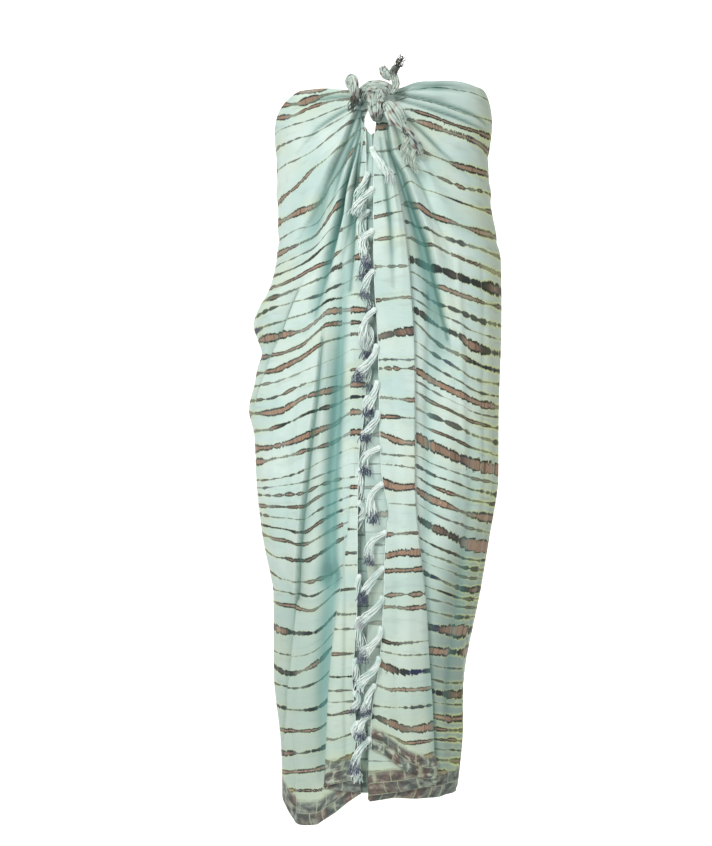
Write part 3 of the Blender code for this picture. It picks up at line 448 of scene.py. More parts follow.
LEFT_PANEL_STRIPES = (
    # finish, half width, heights at the pleat and at the fringed edge
    ("brown", 2.0, -640, -636),
    ("dark", 1.4, -674, -670),
    ("thin", 1.0, -690, -687),
    ("brown", 1.6, -727, -722),
    ("brown", 2.2, -760, -758),
    ("thin", 0.9, -782, -780),
    ("brown", 1.6, -818, -815),
    ("dark", 1.2, -850, -848),
    ("thin", 0.9, -871, -868),
    ("thin", 1.0, -887, -884),
    ("brown", 2.2, -906, -896),
    ("bare", 0, -924, -912),
    ("brown", 1.8, -942, -928),
    ("bare", 0, -958, -944),
    ("dark", 2.6, -974, -960),
    ("brown", 2.2, -990, -976),
)
BACK_FROM = 110         # degrees from the front where the two sides' stripes start to grow alike
HIDDEN_BLEND = 0.3      # share of a pleat's hidden stretch over which its stripes change over
# Near the knot the pleat is still open, and the stripes change over between two angles instead
JOIN_FROM, JOIN_TO = 9, 16
JOIN_BELOW, JOIN_ABOVE = -190, -140
# How much of a stripe's middle is brown, how dense it is and how broken into dots
STRIPE_FINISHES = {
    # brown, density, dots
    "brown": (1.0, 1.0, 0.0),
    "dark": (0.33, 1.0, 0.2),
    "bold": (0.46, 1.0, 0.1),
    "olive": (0.15, 0.85, 0.6),
    "thin": (0.5, 0.7, 0.6),
    "dots": (0.5, 0.9, 0.9),
    "bare": (0.0, 0.0, 0.0),
}
# How strong the yellow-green rims of the dye are, by degrees from the front
HALO_FROM = {"left": 58, "right": 26}
HALO_FULL = 80
HALO_MOST = {"left": 0.45, "right": 1.0}
HALO_BACK = 0.35                       # at the centre back
LEAST_HALO = 0.2
HIDDEN_DYE = 0.3                       # how much of the dye shows on the layers behind a front
HIDDEN_WIDTH = 0.5                     # share of a stripe's width on those layers
PANEL_WIDTH = {"left": 1.0, "right": 1.3}  # the same on the front panels

# Painted shade: a greyer colour low down beside the front panels, where the cloth lies in shade
DUSK_FROM, DUSK_OVER = 26, 16          # degrees from the front where it starts, and over which it grows
DUSK_FADES = 80                        # degrees from the front where it starts to fade
DUSK_BELOW, DUSK_DEEPENS = 540, 220    # how far down it starts, and over what drop it grows
DUSK_MOST = {"left": 0.25, "right": 0.85}

# The knot, from top to bottom
KNOT_RINGS = (
    # height, centre across, half width, half depth
    (4, -4, 10, 6),
    (1, -4, 17, 10),
    (-5, -4, 20, 13),
    (-12, -4, 18.5, 13.5),
    (-20, -5, 14, 12),
    (-31, -4.5, 12.5, 11),
    (-43, -3.5, 11, 9),
    (-53, -3, 6, 6),
)
KNOT_CLEARANCE = 0.1  # between the knot and the band over it
KNOT_BAND = (
    # across, height
    (-17, -3), (-11, -4), (-5, -7), (0, -12), (2, -19), (1, -27),
)
BAND_HALF_WIDTH = 6.0
BAND_HALF_THICKNESS = 2.6

# The tied corners' ends, as a centre line and a flat section
LEFT_TAIL = (
    # across, forward of the knot's middle, height, half width, half thickness
    (-24.7, 0, -13, 4, 4),
    (-31, 2, -11, 6, 4.5),
    (-38, 3, -4, 8, 4.5),
    (-41, 6, 2, 8.5, 4.5),
    (-39, 12, 5, 8.5, 4.5),
    (-37, 16, 0, 8, 4.5),
    (-36, 16.5, -9, 7.5, 4.5),
    (-35, 15.5, -20, 6.5, 4),
    (-36, 14, -28, 5.5, 3.5),
)
UP_TAIL = (
    (17.8, 2, -13, 4, 4),
    (21, 4, -8, 6, 4.5),
    (24, 4, 1, 6.5, 4.5),
    (22, 4, 9, 6, 4.5),
    (20, 5, 16, 5.5, 4),
    (24, 6, 24, 5, 3.5),
)
UP_LOBE = (
    (17, 4, 6, 3, 2.5),
    (12, 6, 10, 6.5, 3.5),
    (7, 7, 17, 7.5, 3.5),
    (4, 7, 24, 5, 2.5),
)
RIGHT_TAIL = (
    (9.2, 8, -28, 6, 4),
    (15, 12, -34, 11, 6),
    (22, 12, -44, 14, 7.5),
    (29, 9, -54, 11.5, 6),
    (35, 7, -64, 6.5, 4),
    (41, 6, -73, 8.5, 4.5),
    (48, 3, -83, 10, 5),
    (55, 0, -93, 9, 4),
    (59, -2, -101, 6, 3),
)
TOP_WRAP = (
    # across, height: the cloth laid over the top of the knot
    (16, -10), (8, -6), (-2, -5), (-13, -6), (-22, -11), (-27, -21),
)
WRAP_HALF_WIDTH = 8.0
WRAP_HALF_THICKNESS = 3.4

# Torn ends of the tied corners: bundles of threads along a line, dark or pale
FRAYS = (
    # yarns, spread at the root and at the tip, dark share, line of across, forward and height
    (16, 3.2, 5.5, 1.0, ((22, 5, 15), (25, 6, 23), (28, 6, 30), (35, 7, 38))),
    (5, 1.0, 2.2, 1.0, ((25, 6, 20), (30, 6, 24), (36, 6, 25))),
    (14, 4.0, 6.0, 0.9, ((-36, 16, -20), (-36, 16, -28), (-39, 15, -35), (-42, 14, -41))),
    (8, 2.5, 4.0, 0.9, ((-34, 16, -18), (-32, 16, -26), (-30, 15, -33))),
    (14, 3.5, 7.0, 0.25, ((40, 7, -78), (37, 9, -90), (36, 9, -102), (41, 9, -115))),
    (12, 3.0, 6.0, 0.2, ((50, 3, -94), (47, 5, -106), (49, 6, -116), (57, 6, -124))),
    (8, 2.0, 3.5, 0.6, ((33, 9, -62), (36, 10, -70), (42, 10, -76))),
)

# The tassels of each fringed edge: where each is tied, how far it swings across and forward, and its drop
RIGHT_TASSELS = (
    # height, across, forward, drop
    (-92, 24, 10, 34), (-150, -24, 3, 32), (-210, -12, 1, 38), (-268, -15, 1, 34), (-323, -20, 1, 38),
    (-375, -20, 1, 36), (-427, -14, 1, 34), (-470, -16, 1, 36), (-520, -22, 2, 34), (-572, -24, 4, 38),
    (-642, -28, 6, 38), (-693, -24, 6, 36), (-736, -26, 6, 34), (-779, -24, 6, 34), (-822, -20, 6, 34),
    (-862, -12, 6, 34), (-904, -16, 6, 28), (-938, -20, 6, 44),
)
LEFT_TASSELS = (
    # height, across, forward, drop
    (-128, -16, 4, 34), (-182, -14, 4, 38), (-236, -7, 2, 34), (-290, 1, -1, 34), (-347, 3, -2, 36),
    (-400, 1, -5, 34), (-448, 1, -6, 34), (-500, 2, -6, 34), (-552, 2, -7, 32), (-600, 2, -8, 34),
    (-704, 2, -8, 36), (-765, 2, -8, 34), (-825, 2, -8, 30), (-872, 3, -3, 28), (-914, 2, -8, 34),
    (-962, 3, -2, 26),
)
HEAD_OUT = 3.0        # from the cloth's edge to the middle of a tassel's tied head
HEAD_FORWARD = 2.6    # and from the cloth's face
HEAD_RADIUS = 2.3     # of the loop that the head's yarn is wound in
HEAD_WINDS = 3.5
EDGE_GAP = 0.5        # from the cloth's edge to the cord along it


def eased(share):
    """A share from 0 to 1 that starts and ends gently."""
    share = np.clip(share, 0.0, 1.0)
    return share * share * (3 - 2 * share)


def table_value(table, column, at):
    """A table's column, read smoothly between its rows by the value in its first column."""
    rows = sorted(table)
    places = np.array([row[0] for row in rows], float)
    values = np.array([row[column] for row in rows], float)
    slopes = np.gradient(values, places)
    at = np.clip(at, places[0], places[-1])
    low = np.clip(np.searchsorted(places, at, side="right") - 1, 0, len(places) - 2)
    span = places[low + 1] - places[low]
    share = (at - places[low]) / span
    keep = 2 * share**3 - 3 * share**2 + 1
    take = 3 * share**2 - 2 * share**3
    leave = (share**3 - 2 * share**2 + share) * span
    arrive = (share**3 - share**2) * span
    steep = 3 * np.abs(np.diff(values) / np.diff(places))
    limit_low = np.clip(slopes[low], -steep[low], steep[low])
    limit_high = np.clip(slopes[low + 1], -steep[low], steep[low])
    return keep * values[low] + take * values[low + 1] + leave * limit_low + arrive * limit_high


def section_sizes(angle, height):
    """Half width and depth of the body's section on this side, at each point."""
    left, right, front, back = (table_value(SECTIONS, column, height) for column in (1, 2, 3, 4))
    wide = np.where(np.sin(angle) >= 0, right, left)
    deep = np.where(np.cos(angle) >= 0, front, back)
    return wide, deep


def angle_of(across, height):
    """The angle round the body of a place on the front, from how far across it is."""
    wide = table_value(SECTIONS, 2, height) if np.mean(across) >= 0 else table_value(SECTIONS, 1, height)
    return np.arcsin(np.clip(across / wide, -WIDEST, WIDEST))


def on_body(angle, height, out):
    """Points that stand out from the body's section, as an array of x, y and z."""
    wide, deep = section_sizes(angle, height)
    run_x = wide * np.cos(angle)
    run_y = deep * np.sin(angle)
    length = np.hypot(run_x, run_y)
    x = wide * np.sin(angle) + out * run_y / length
    y = -deep * np.cos(angle) - out * run_x / length
    return np.stack([x, y, height + 0 * x], axis=-1)


def fold_line(line):
    """A fold's line on the flattened cloth: girth in millimetres and height."""
    return np.array([(math.radians(angle) * GIRTH_RADIUS, height) for angle, height in line])


def distance_to_line(girth, height, line):
    """Each point's distance to a fold's line, its side (+1 to the right) and its share of the line."""
    best = np.full(girth.shape, np.inf)
    side = np.zeros(girth.shape)
    share = np.zeros(girth.shape)
    lengths = np.hypot(*np.diff(line, axis=0).T)
    starts = np.concatenate([[0], np.cumsum(lengths)])
    for index, length in enumerate(lengths):
        ax, az = line[index]
        dx, dz = (line[index + 1] - line[index]) / length
        along = np.clip((girth - ax) * dx + (height - az) * dz, 0, length)
        off_x = girth - ax - along * dx
        off_z = height - az - along * dz
        off = np.hypot(off_x, off_z)
        nearer = off < best
        best = np.where(nearer, off, best)
        side = np.where(nearer, np.sign(off_z * dx - off_x * dz), side)
        share = np.where(nearer, (starts[index] + along) / starts[-1], share)
    return best, side, share


def fold_offset(angle, height, folds):
    """How far the folds push each point of the cloth out of the body's section."""
    girth = angle * GIRTH_RADIUS
    out = np.zeros(girth.shape)
    for _, kind, depths, widths, line in folds:
        off, side, share = distance_to_line(girth, height, fold_line(line))
        depth = np.interp(share, (0, 0.5, 1), depths)
        width = np.interp(share, (0, 0.5, 1), widths)
        if kind == "valley":
            out -= depth * np.exp(-((off / width) ** 2))
        elif kind == "ridge":
            out += depth * np.exp(-((off / width) ** 2))
        else:
            raised = side if kind == "step_right" else -side
            reach = width * STEP_REACH
            front = eased(0.5 + raised * off / (2 * width)) - 0.5
            out += depth * front * np.exp(-((off / reach) ** 2))
    return out


def offset_all_round(angle, height, folds):
    """The folds' offset, with those near the centre back felt on both sides of it."""
    far_side = angle - np.sign(angle.mean()) * 2 * math.pi
    return fold_offset(angle, height, folds) + fold_offset(far_side, height, folds)


def painted_crease_shade(angle, height, folds):
    """How near each point is to the bottom of a sharp fold or to the foot of a step, from 0 to 1, as the
    strength of the shade painted there.
    """
    girth = angle * GIRTH_RADIUS
    near = np.zeros(girth.shape)
    for _, kind, depths, widths, line in folds:
        if kind == "ridge" or min(widths) > SHARP_WIDTH:
            continue
        off, side, share = distance_to_line(girth, height, fold_line(line))
        foot = {"step_left": 1, "step_right": -1}.get(kind, 0) * CREASE_HALF_WIDTH
        width = np.interp(share, (0, 0.5, 1), widths)
        depth = np.interp(share, (0, 0.5, 1), depths)
        strength = np.clip(depth / SHARP_DEPTH, 0, 1) * np.clip(SHARP_WIDTH / width, 0, 1)
        line_here = np.exp(-(((side * off - foot) / CREASE_HALF_WIDTH) ** 2))
        if foot:
            below = side * foot > 0
            line_here = np.maximum(line_here, below * STEP_SHADE * np.exp(-off / STEP_SHADE_REACH))
        near = np.maximum(near, strength * line_here)
    return near


def pleat_place(front, height, sign, part, share):
    """Where a point of one stretch near the front edge lies: how far across, and how far out."""
    edge = table_value(front, 1, height)
    crease = table_value(front, 2, height)
    turn = np.radians(np.clip(table_value(front, 3, height), LEAST_TURN, 180))
    hidden = table_value(front, 4, height)
    size = TURN_LENGTH * (TURN_AT_TOP + (1 - TURN_AT_TOP) * eased(height / FULL_TURN_AT))
    radius = size / turn
    start = crease - sign * radius * np.sin(np.minimum(turn, math.pi / 2))
    bend_across = radius * np.sin(turn)
    bend_drop = radius * (1 - np.cos(turn))
    hidden_across = hidden * np.cos(turn)
    hidden_drop = hidden * np.sin(turn)
    raised = 2 * bend_drop + hidden_drop
    end = start + sign * (2 * bend_across + hidden_across)
    under = np.where(sign * crease > sign * end, crease, end) + sign * TUCK
    if part == "panel":
        return edge + (start - edge) * share, raised
    if part == "first_turn":
        across = start + sign * radius * np.sin(turn * share)
        return across, raised - radius * (1 - np.cos(turn * share))
    if part == "hidden":
        across = start + sign * (bend_across + hidden_across * share)
        return across, raised - bend_drop - hidden_drop * share
    if part == "second_turn":
        left = turn * (1 - share)
        across = end - sign * radius * np.sin(left)
        return across, radius * (1 - np.cos(left))
    return end + (under - end) * share, 0 * raised


def column_places():
    """The stretch and the share along it of each column, from the fringed edge to the centre back."""
    places = []
    for name, count in STRETCHES:
        first = 0 if name == "panel" else 1
        places += [(name, step / count) for step in range(first, count + 1)]
    return places


def row_shares():
    """How far down the cloth each row lies, closer together near the knot."""
    top = np.linspace(0, TOP_SHARE, TOP_ROWS + 1)
    low = np.linspace(TOP_SHARE, 1, LOW_ROWS + 1)
    return np.concatenate([top, low[1:]])


def column_points(side, part, share, heights):
    """One column of the cloth: angle round the body, and how far out the pleat holds it."""
    sign = -1 if side == "left" else 1
    front = LEFT_FRONT if side == "left" else RIGHT_FRONT
    if part in ("panel", "first_turn", "hidden", "second_turn", "under"):
        across, out = pleat_place(front, heights, sign, part, share)
        return angle_of(across, heights), out
    gather = np.radians(table_value(LEFT_GATHER if side == "left" else RIGHT_GATHER, 1, heights))
    under, _ = pleat_place(front, heights, sign, "under", 1.0)
    start = angle_of(under, heights)
    gather = sign * np.maximum(sign * gather, sign * start + math.radians(LEAST_OPEN))
    crowd = GATHER_EASE * (eased(share) - share)
    if part == "to_gather":
        return start + (gather - start) * (share + crowd), 0 * heights
    flank = sign * math.pi / 2 + 0 * heights
    if part == "to_side":
        share = share + GATHER_EASE * (share * share - share)
        return gather + (flank - gather) * share, 0 * heights
    return flank + (sign * math.pi - flank) * share, 0 * heights


def hem_height(side, part, share, angle, across):
    """The height of the hem under one column."""
    panel_hem = LEFT_PANEL_HEM if side == "left" else RIGHT_PANEL_HEM
    main = table_value(HEM, 1, np.degrees(angle))
    if part == "panel":
        return table_value(panel_hem, 1, across)
    outer = table_value(panel_hem, 1, PANEL_OUTER[side])
    inner = table_value(HEM, 1, FOLD_AT_HEM[side])
    order = ("first_turn", "hidden", "second_turn")
    if part in order:
        passed = (order.index(part) + share) / len(order)
        return outer + (inner - outer) * passed
    return main


def cloth_grid(side):
    """One side's shell as columns of points, with each one's angle, fold depth and strength of painted
    crease shade.
    """
    angles = []
    heights = []
    outs = []
    for part, share in column_places():
        at_top, _ = column_points(side, part, share, np.array([0.0]))
        at_hem, _ = column_points(side, part, share, np.array([float(HEM_READ_AT)]))
        top = table_value(TOP_EDGE, 1, np.degrees(at_top[0]))
        across = HEM_RADIUS * math.sin(at_hem[0])
        foot = hem_height(side, part, share, at_hem[0], across)
        down = top + (foot - top) * row_shares()
        angle, out = column_points(side, part, share, down)
        angles.append(angle)
        heights.append(down)
        outs.append(out)
    angle = np.array(angles)
    height = np.array(heights)
    main = offset_all_round(angle, height, MAIN_FOLDS)
    fine = offset_all_round(angle, height, FINE_FOLDS)
    depth, length = RIPPLE[side]
    from_edge = np.abs(angle - angle[0]) * GIRTH_RADIUS
    panel = np.array([part == "panel" for part, _ in column_places()])[:, None]
    ripple = depth * np.sin(height * 2 * math.pi / length) * np.exp(-from_edge / RIPPLE_REACH) * panel
    points = on_body(angle, height, np.array(outs) + main + fine + ripple)
    return points, angle, main + fine, painted_crease_shade(angle, height, MAIN_FOLDS + FINE_FOLDS)


def grid_normals(grid, side):
    """The direction towards the cloth's outer face at each point of a grid."""
    along = np.gradient(grid, axis=0)
    down = np.gradient(grid, axis=1)
    normal = np.cross(along, down) if side == "left" else np.cross(down, along)
    return normal / np.linalg.norm(normal, axis=-1, keepdims=True)


# Stripes on the cloth

def stripe_place(angle, height, places, rows):
    """Each point's place among the stripes, the gap between the two nearest ones and their finish.

    A place is a whole number on a stripe and runs evenly between two stripes.
    """
    degrees = np.degrees(angle).ravel()
    tall = height.ravel()
    levels = np.stack([table_value(list(zip(places, row[2:])), 1, degrees) for row in rows])
    above = (levels > tall).sum(axis=0)
    first = np.clip(above - 1, 0, len(rows) - 2)
    points = np.arange(len(tall))
    upper = levels[first, points]
    gap = upper - levels[first + 1, points]
    place = first + (upper - tall) / gap
    nearest = np.clip(np.round(place).astype(int), 0, len(rows) - 1)
    looks = np.array([(row[1], *STRIPE_FINISHES[row[0]]) for row in rows])[nearest]
    shape = angle.shape
    return place.reshape(shape), gap.reshape(shape), [column.reshape(shape) for column in looks.T]


def with_back(rows, places, other, side):
    """Stripe rows with one more height, at the centre back, shared with the other side."""
    longer = []
    for index, row in enumerate(rows):
        near = row[2] if side == "left" else row[-1]
        far = other[index][-1] if side == "left" else other[index][2]
        middle = (near + far) / 2
        longer.append((*row[:2], middle, *row[2:]) if side == "left" else (*row, middle))
    back = -180 if side == "left" else 180
    return longer, ((back, *places) if side == "left" else (*places, back))


def stripe_fields(side, angle, height):
    """The stripes' values over one side of the cloth, joined across the hidden stretch of its pleat."""
    if side == "left":
        rows, places = with_back(LEFT_STRIPES, LEFT_PLACES, RIGHT_STRIPES, side)
        panel_rows = [(*row[:2], row[-2], row[-1]) for row in LEFT_STRIPES[:LEFT_PANEL_FROM]]
        panel_rows += LEFT_PANEL_STRIPES
        panel_places = LEFT_PANEL_PLACES
    else:
        rows, places = with_back(RIGHT_STRIPES, RIGHT_PLACES, LEFT_STRIPES, side)
        panel_rows = RIGHT_PANEL_STRIPES
        panel_places = RIGHT_PANEL_PLACES
    place, gap, looks = stripe_place(angle, height, places, rows)
    panel_place, panel_gap, panel_looks = stripe_place(angle, height, panel_places, panel_rows)
    blend = []
    for part, share in column_places():
        if part in ("panel", "first_turn"):
            blend.append(1.0)
        elif part == "hidden":
            blend.append(max(0.0, 1 - share / HIDDEN_BLEND))
        else:
            blend.append(0.0)
    blend = np.array(blend)[:, None] + 0 * angle
    if side == "right":
        across = 1 - eased((np.degrees(angle) - JOIN_FROM) / (JOIN_TO - JOIN_FROM))
        high = eased((height - JOIN_BELOW) / (JOIN_ABOVE - JOIN_BELOW))
        blend = blend + (across - blend) * high
    place = panel_place * blend + place * (1 - blend)
    gap = panel_gap * blend + gap * (1 - blend)
    on_panel = blend > 0.5
    other = RIGHT_STRIPES if side == "left" else LEFT_STRIPES
    other_looks = np.array([(row[1], *STRIPE_FINISHES[row[0]]) for row in other])
    nearest = np.clip(np.round(place).astype(int), 0, len(other) - 1)
    share = eased((np.abs(np.degrees(angle)) - BACK_FROM) / (180 - BACK_FROM)) / 2
    looks = [main + (other_looks[nearest, index] - main) * share for index, main in enumerate(looks)]
    looks = [np.where(on_panel, panel, main) for panel, main in zip(panel_looks, looks)]
    return place, gap, looks


# Meshes

def shell_mesh(name, grid, normals, fields):
    """A closed thin shell over a grid, with its fields as attributes and its outer face's own normals."""
    columns, rows, _ = grid.shape
    count = columns * rows
    outer = grid + normals * THICKNESS / 2
    inner = grid - normals * THICKNESS / 2
    points = np.concatenate([outer.reshape(-1, 3), inner.reshape(-1, 3)]) * MM
    index = np.arange(count).reshape(columns, rows)
    near = index[:-1, :-1].ravel()
    below = index[:-1, 1:].ravel()
    across_below = index[1:, 1:].ravel()
    across = index[1:, :-1].ravel()
    front = np.stack([near, below, across_below, across], axis=1)
    if np.mean(np.cross(grid[1, 0] - grid[0, 0], grid[0, 1] - grid[0, 0]) * normals[0, 0]) > 0:
        front = front[:, ::-1]
    back = front[:, ::-1] + count
    edges = set(map(tuple, np.stack([front, np.roll(front, -1, axis=1)], axis=-1).reshape(-1, 2)))
    rim = np.array([(b, a, a + count, b + count) for a, b in edges if (b, a) not in edges])
    faces = np.concatenate([front, back, rim])
    mesh = bpy.data.meshes.new(name)
    mesh.from_pydata(points.tolist(), [], faces.tolist())
    for field, values in fields.items():
        attribute = mesh.attributes.new(field, "FLOAT", "POINT")
        attribute.data.foreach_set("value", np.tile(values.ravel(), 2).astype(np.float32))
    mesh.shade_smooth()
    flat = normals.reshape(-1, 3)
    corners = np.concatenate([flat[front.ravel()], -flat[(back - count).ravel()]])
    rim_points = points[rim]
    rim_normals = np.cross(rim_points[:, 1] - rim_points[:, 0], rim_points[:, 2] - rim_points[:, 0])
    rim_normals /= np.linalg.norm(rim_normals, axis=1, keepdims=True)
    corners = np.concatenate([corners, np.repeat(rim_normals, 4, axis=0)])
    mesh.normals_split_custom_set(corners.tolist())
    return mesh


def new_piece(name, mesh, material, nodes=()):
    """An object for a finished mesh, with its finish and the solids it stands for."""
    mesh.materials.clear()
    mesh.materials.append(material)
    piece = bpy.data.objects.new(name, mesh)
    bpy.context.scene.collection.objects.link(piece)
    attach(piece, "root")
    if nodes:
        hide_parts(*nodes)
    return piece


# The wrapped cloth

def halo_strength(side, degrees):
    """How strong the yellow-green rims are, from the front round to the centre back."""
    halo = eased((degrees - HALO_FROM[side]) / (HALO_FULL - HALO_FROM[side])) * HALO_MOST[side]
    halo = halo + (HALO_BACK - halo) * eased((degrees - HALO_FULL) / (180 - HALO_FULL))
    return LEAST_HALO + (1 - LEAST_HALO) * halo


def low_side_shade_strength(side, degrees, height):
    """How much painted shade, a greyer colour, lies on the cloth low down beside the front panels."""
    around = eased((degrees - DUSK_FROM) / DUSK_OVER) * DUSK_MOST[side]
    fading = 1 - eased((degrees - DUSK_FADES) / (BACK_FROM - DUSK_FADES))
    return around * fading * eased((-height - DUSK_BELOW) / DUSK_DEEPENS)


def make_cloth(side, material):
    """One half of the wrapped cloth, with the stripes' values on it."""
    grid, angle, folds, creases = cloth_grid(side)
    normals = grid_normals(grid, side)
    place, gap, (half, brown, density, dots) = stripe_fields(side, angle, grid[..., 2])
    parts = [part for part, _ in column_places()]
    on_panel = np.array([part in ("panel", "first_turn") for part in parts])[:, None] + 0 * angle
    behind = np.array([part in ("hidden", "second_turn", "under") for part in parts])[:, None] + 0 * angle
    density = density * (1 - (1 - HIDDEN_DYE) * behind)
    half = half * (1 - (1 - HIDDEN_WIDTH) * behind + (PANEL_WIDTH[side] - 1) * on_panel)
    steps = np.linalg.norm(np.diff(grid, axis=0), axis=-1)
    run = np.concatenate([np.zeros((1, grid.shape[1])), np.cumsum(steps, axis=0)])
    run = (run[-1] - run) * (1 if side == "right" else -1)
    degrees = np.abs(np.degrees(angle))
    height = grid[..., 2]
    back_share = np.where(degrees > BACK_SHADE_FROM, BACK_SHADE, 1)
    fields = {
        "stripe_place": place,
        "stripe_gap": gap,
        "stripe_half": half,
        "stripe_brown": brown,
        "stripe_density": density,
        "stripe_dots": dots,
        "stripe_halo": halo_strength(side, degrees),
        "run": run,
        "drop": -height,
        "above_hem": height - height[:, -1:],
        # painted shade: teal where the cloth lies deep in a fold
        "painted_fold_shade": np.clip(-folds / FOLD_SHADE_DEPTH, 0, 1) * back_share,
        # painted shade along sharp creases and beside the foot of each step
        "painted_crease_shade": creases,
        "on_panel": on_panel,
        # painted shade low down beside the front panels
        "low_side_shade": low_side_shade_strength(side, degrees, height) * (1 - on_panel),
    }
    mesh = shell_mesh(f"wrap_{side}", grid, normals, fields)
    piece = new_piece(f"wrap_{side}", mesh, material, (f"cloth_{side}",))
    return piece, grid, normals


INNER_FOLD_TOP = (-44, -70)   # at its two sides, which hide behind the fronts, and at the hole's lowest
INNER_FOLD_FOOT = -1018
INNER_FOLD_REACH = ((-44, 10, 1), (-100, 10, 3), (-300, 12, 6), (-560, 14, 9), (-1018, 13, 5))
INNER_FOLD_GATHER = (5.5, 70)  # depth of its pleats under the knot, and over what length they ease out
INNER_FOLD_PLEATS = 5          # half waves of those pleats across it
INNER_FOLD_ROUND = 1.3         # how round its top edge sinks
INNER_FOLD_DEPTH = 5.5         # how far it lies behind the fronts
INNER_FOLD_BOW = 1.6           # how far its two sides stand before and behind that
INNER_FOLD_WAVES = (1.4, 150, 0.9, 61)  # depth and length of two waves down its length
INNER_FOLD_LEAN = 2.4          # how far those waves lean across it, in radians
INNER_FOLD_SHADE = 0.4         # share of the folds' painted teal shade, laid evenly over it
INNER_FOLD_COLUMNS = 24
INNER_FOLD_ROWS = 150


def make_inner_fold(material):
    """The cloth's inner turn, which shows in the shade between the two fringed edges."""
    share = np.linspace(0, 1, INNER_FOLD_COLUMNS)[:, None]
    sunk = 1 - np.abs(2 * share - 1) ** INNER_FOLD_ROUND
    top = INNER_FOLD_TOP[0] + (INNER_FOLD_TOP[1] - INNER_FOLD_TOP[0]) * sunk
    height = top + (INNER_FOLD_FOOT - top) * np.linspace(0, 1, INNER_FOLD_ROWS)
    left = -table_value(INNER_FOLD_REACH, 1, height)
    right = table_value(INNER_FOLD_REACH, 2, height)
    angle = np.radians(left + (right - left) * share)
    deep, length, fine_deep, fine_length = INNER_FOLD_WAVES
    lean = share * INNER_FOLD_LEAN
    wave = deep * np.sin(height * 2 * math.pi / length + lean)
    wave = wave + fine_deep * np.sin(height * 2 * math.pi / fine_length + 2 * lean)
    gather, gather_reach = INNER_FOLD_GATHER
    gather = gather * np.exp((height - INNER_FOLD_TOP[0]) / gather_reach)
    gather = gather * np.sin(share * INNER_FOLD_PLEATS * math.pi)
    bow = INNER_FOLD_BOW * np.sin(share * 2 * math.pi)
    grid = on_body(angle, height, wave + gather + bow - INNER_FOLD_DEPTH)
    normals = grid_normals(grid, "right")
    place, gap, (half, brown, density, dots) = stripe_place(angle, height, RIGHT_PANEL_PLACES,
                                                            RIGHT_PANEL_STRIPES)
    run = (angle - angle[0]) * GIRTH_RADIUS
    fields = {
        "stripe_place": place,
        "stripe_gap": gap,
        "stripe_half": half * HIDDEN_WIDTH,
        "stripe_brown": brown,
        "stripe_density": density * HIDDEN_DYE,
        "stripe_dots": dots,
        "stripe_halo": 0 * run + LEAST_HALO,
        "run": run,
        "drop": -height,
        "above_hem": height - height[:, -1:],
        # painted teal shade, even over the whole inner turn
        "painted_fold_shade": 0 * run + INNER_FOLD_SHADE,
        "painted_crease_shade": 0 * run,
        "on_panel": 0 * run,
        "low_side_shade": 0 * run,
    }
    mesh = shell_mesh("inner_fold", grid, normals, fields)
    return new_piece("inner_fold", mesh, material)


# Yarns and tassels

def unit(vector):
    return vector / np.linalg.norm(vector)


def off_edge(grid, row):
    """The way off the fringed edge, away from the cloth, in one row."""
    return unit(grid[0, row] - grid[3, row])


def edge_station(grid, normals, height):
    """The fringed edge at one height: its place, the way out of the cloth and the way off the edge."""
    heights = grid[0, :, 2]
    row = int(np.clip(np.searchsorted(-heights, -height) - 1, 0, len(heights) - 2))
    share = (height - heights[row]) / (heights[row + 1] - heights[row])
    place = grid[0, row] + (grid[0, row + 1] - grid[0, row]) * share
    face = unit(normals[0, row] + (normals[0, row + 1] - normals[0, row]) * share)
    return place, face, off_edge(grid, row)


SPREAD_GROWTH = 1.6   # how late along its length a bundle opens
YARN_APART = 0.37     # how differently two yarns of a bundle wander
WANDER_SCALE = 55.0
THINNER_FROM = 0.55   # share of a yarn's length from which it thins towards its tip
RANKS = 3.0           # yarns lie at so many distances from their bundle's middle
NEAREST_RANK = 0.45   # share of the bundle's spread
RANK_STEP = 0.35


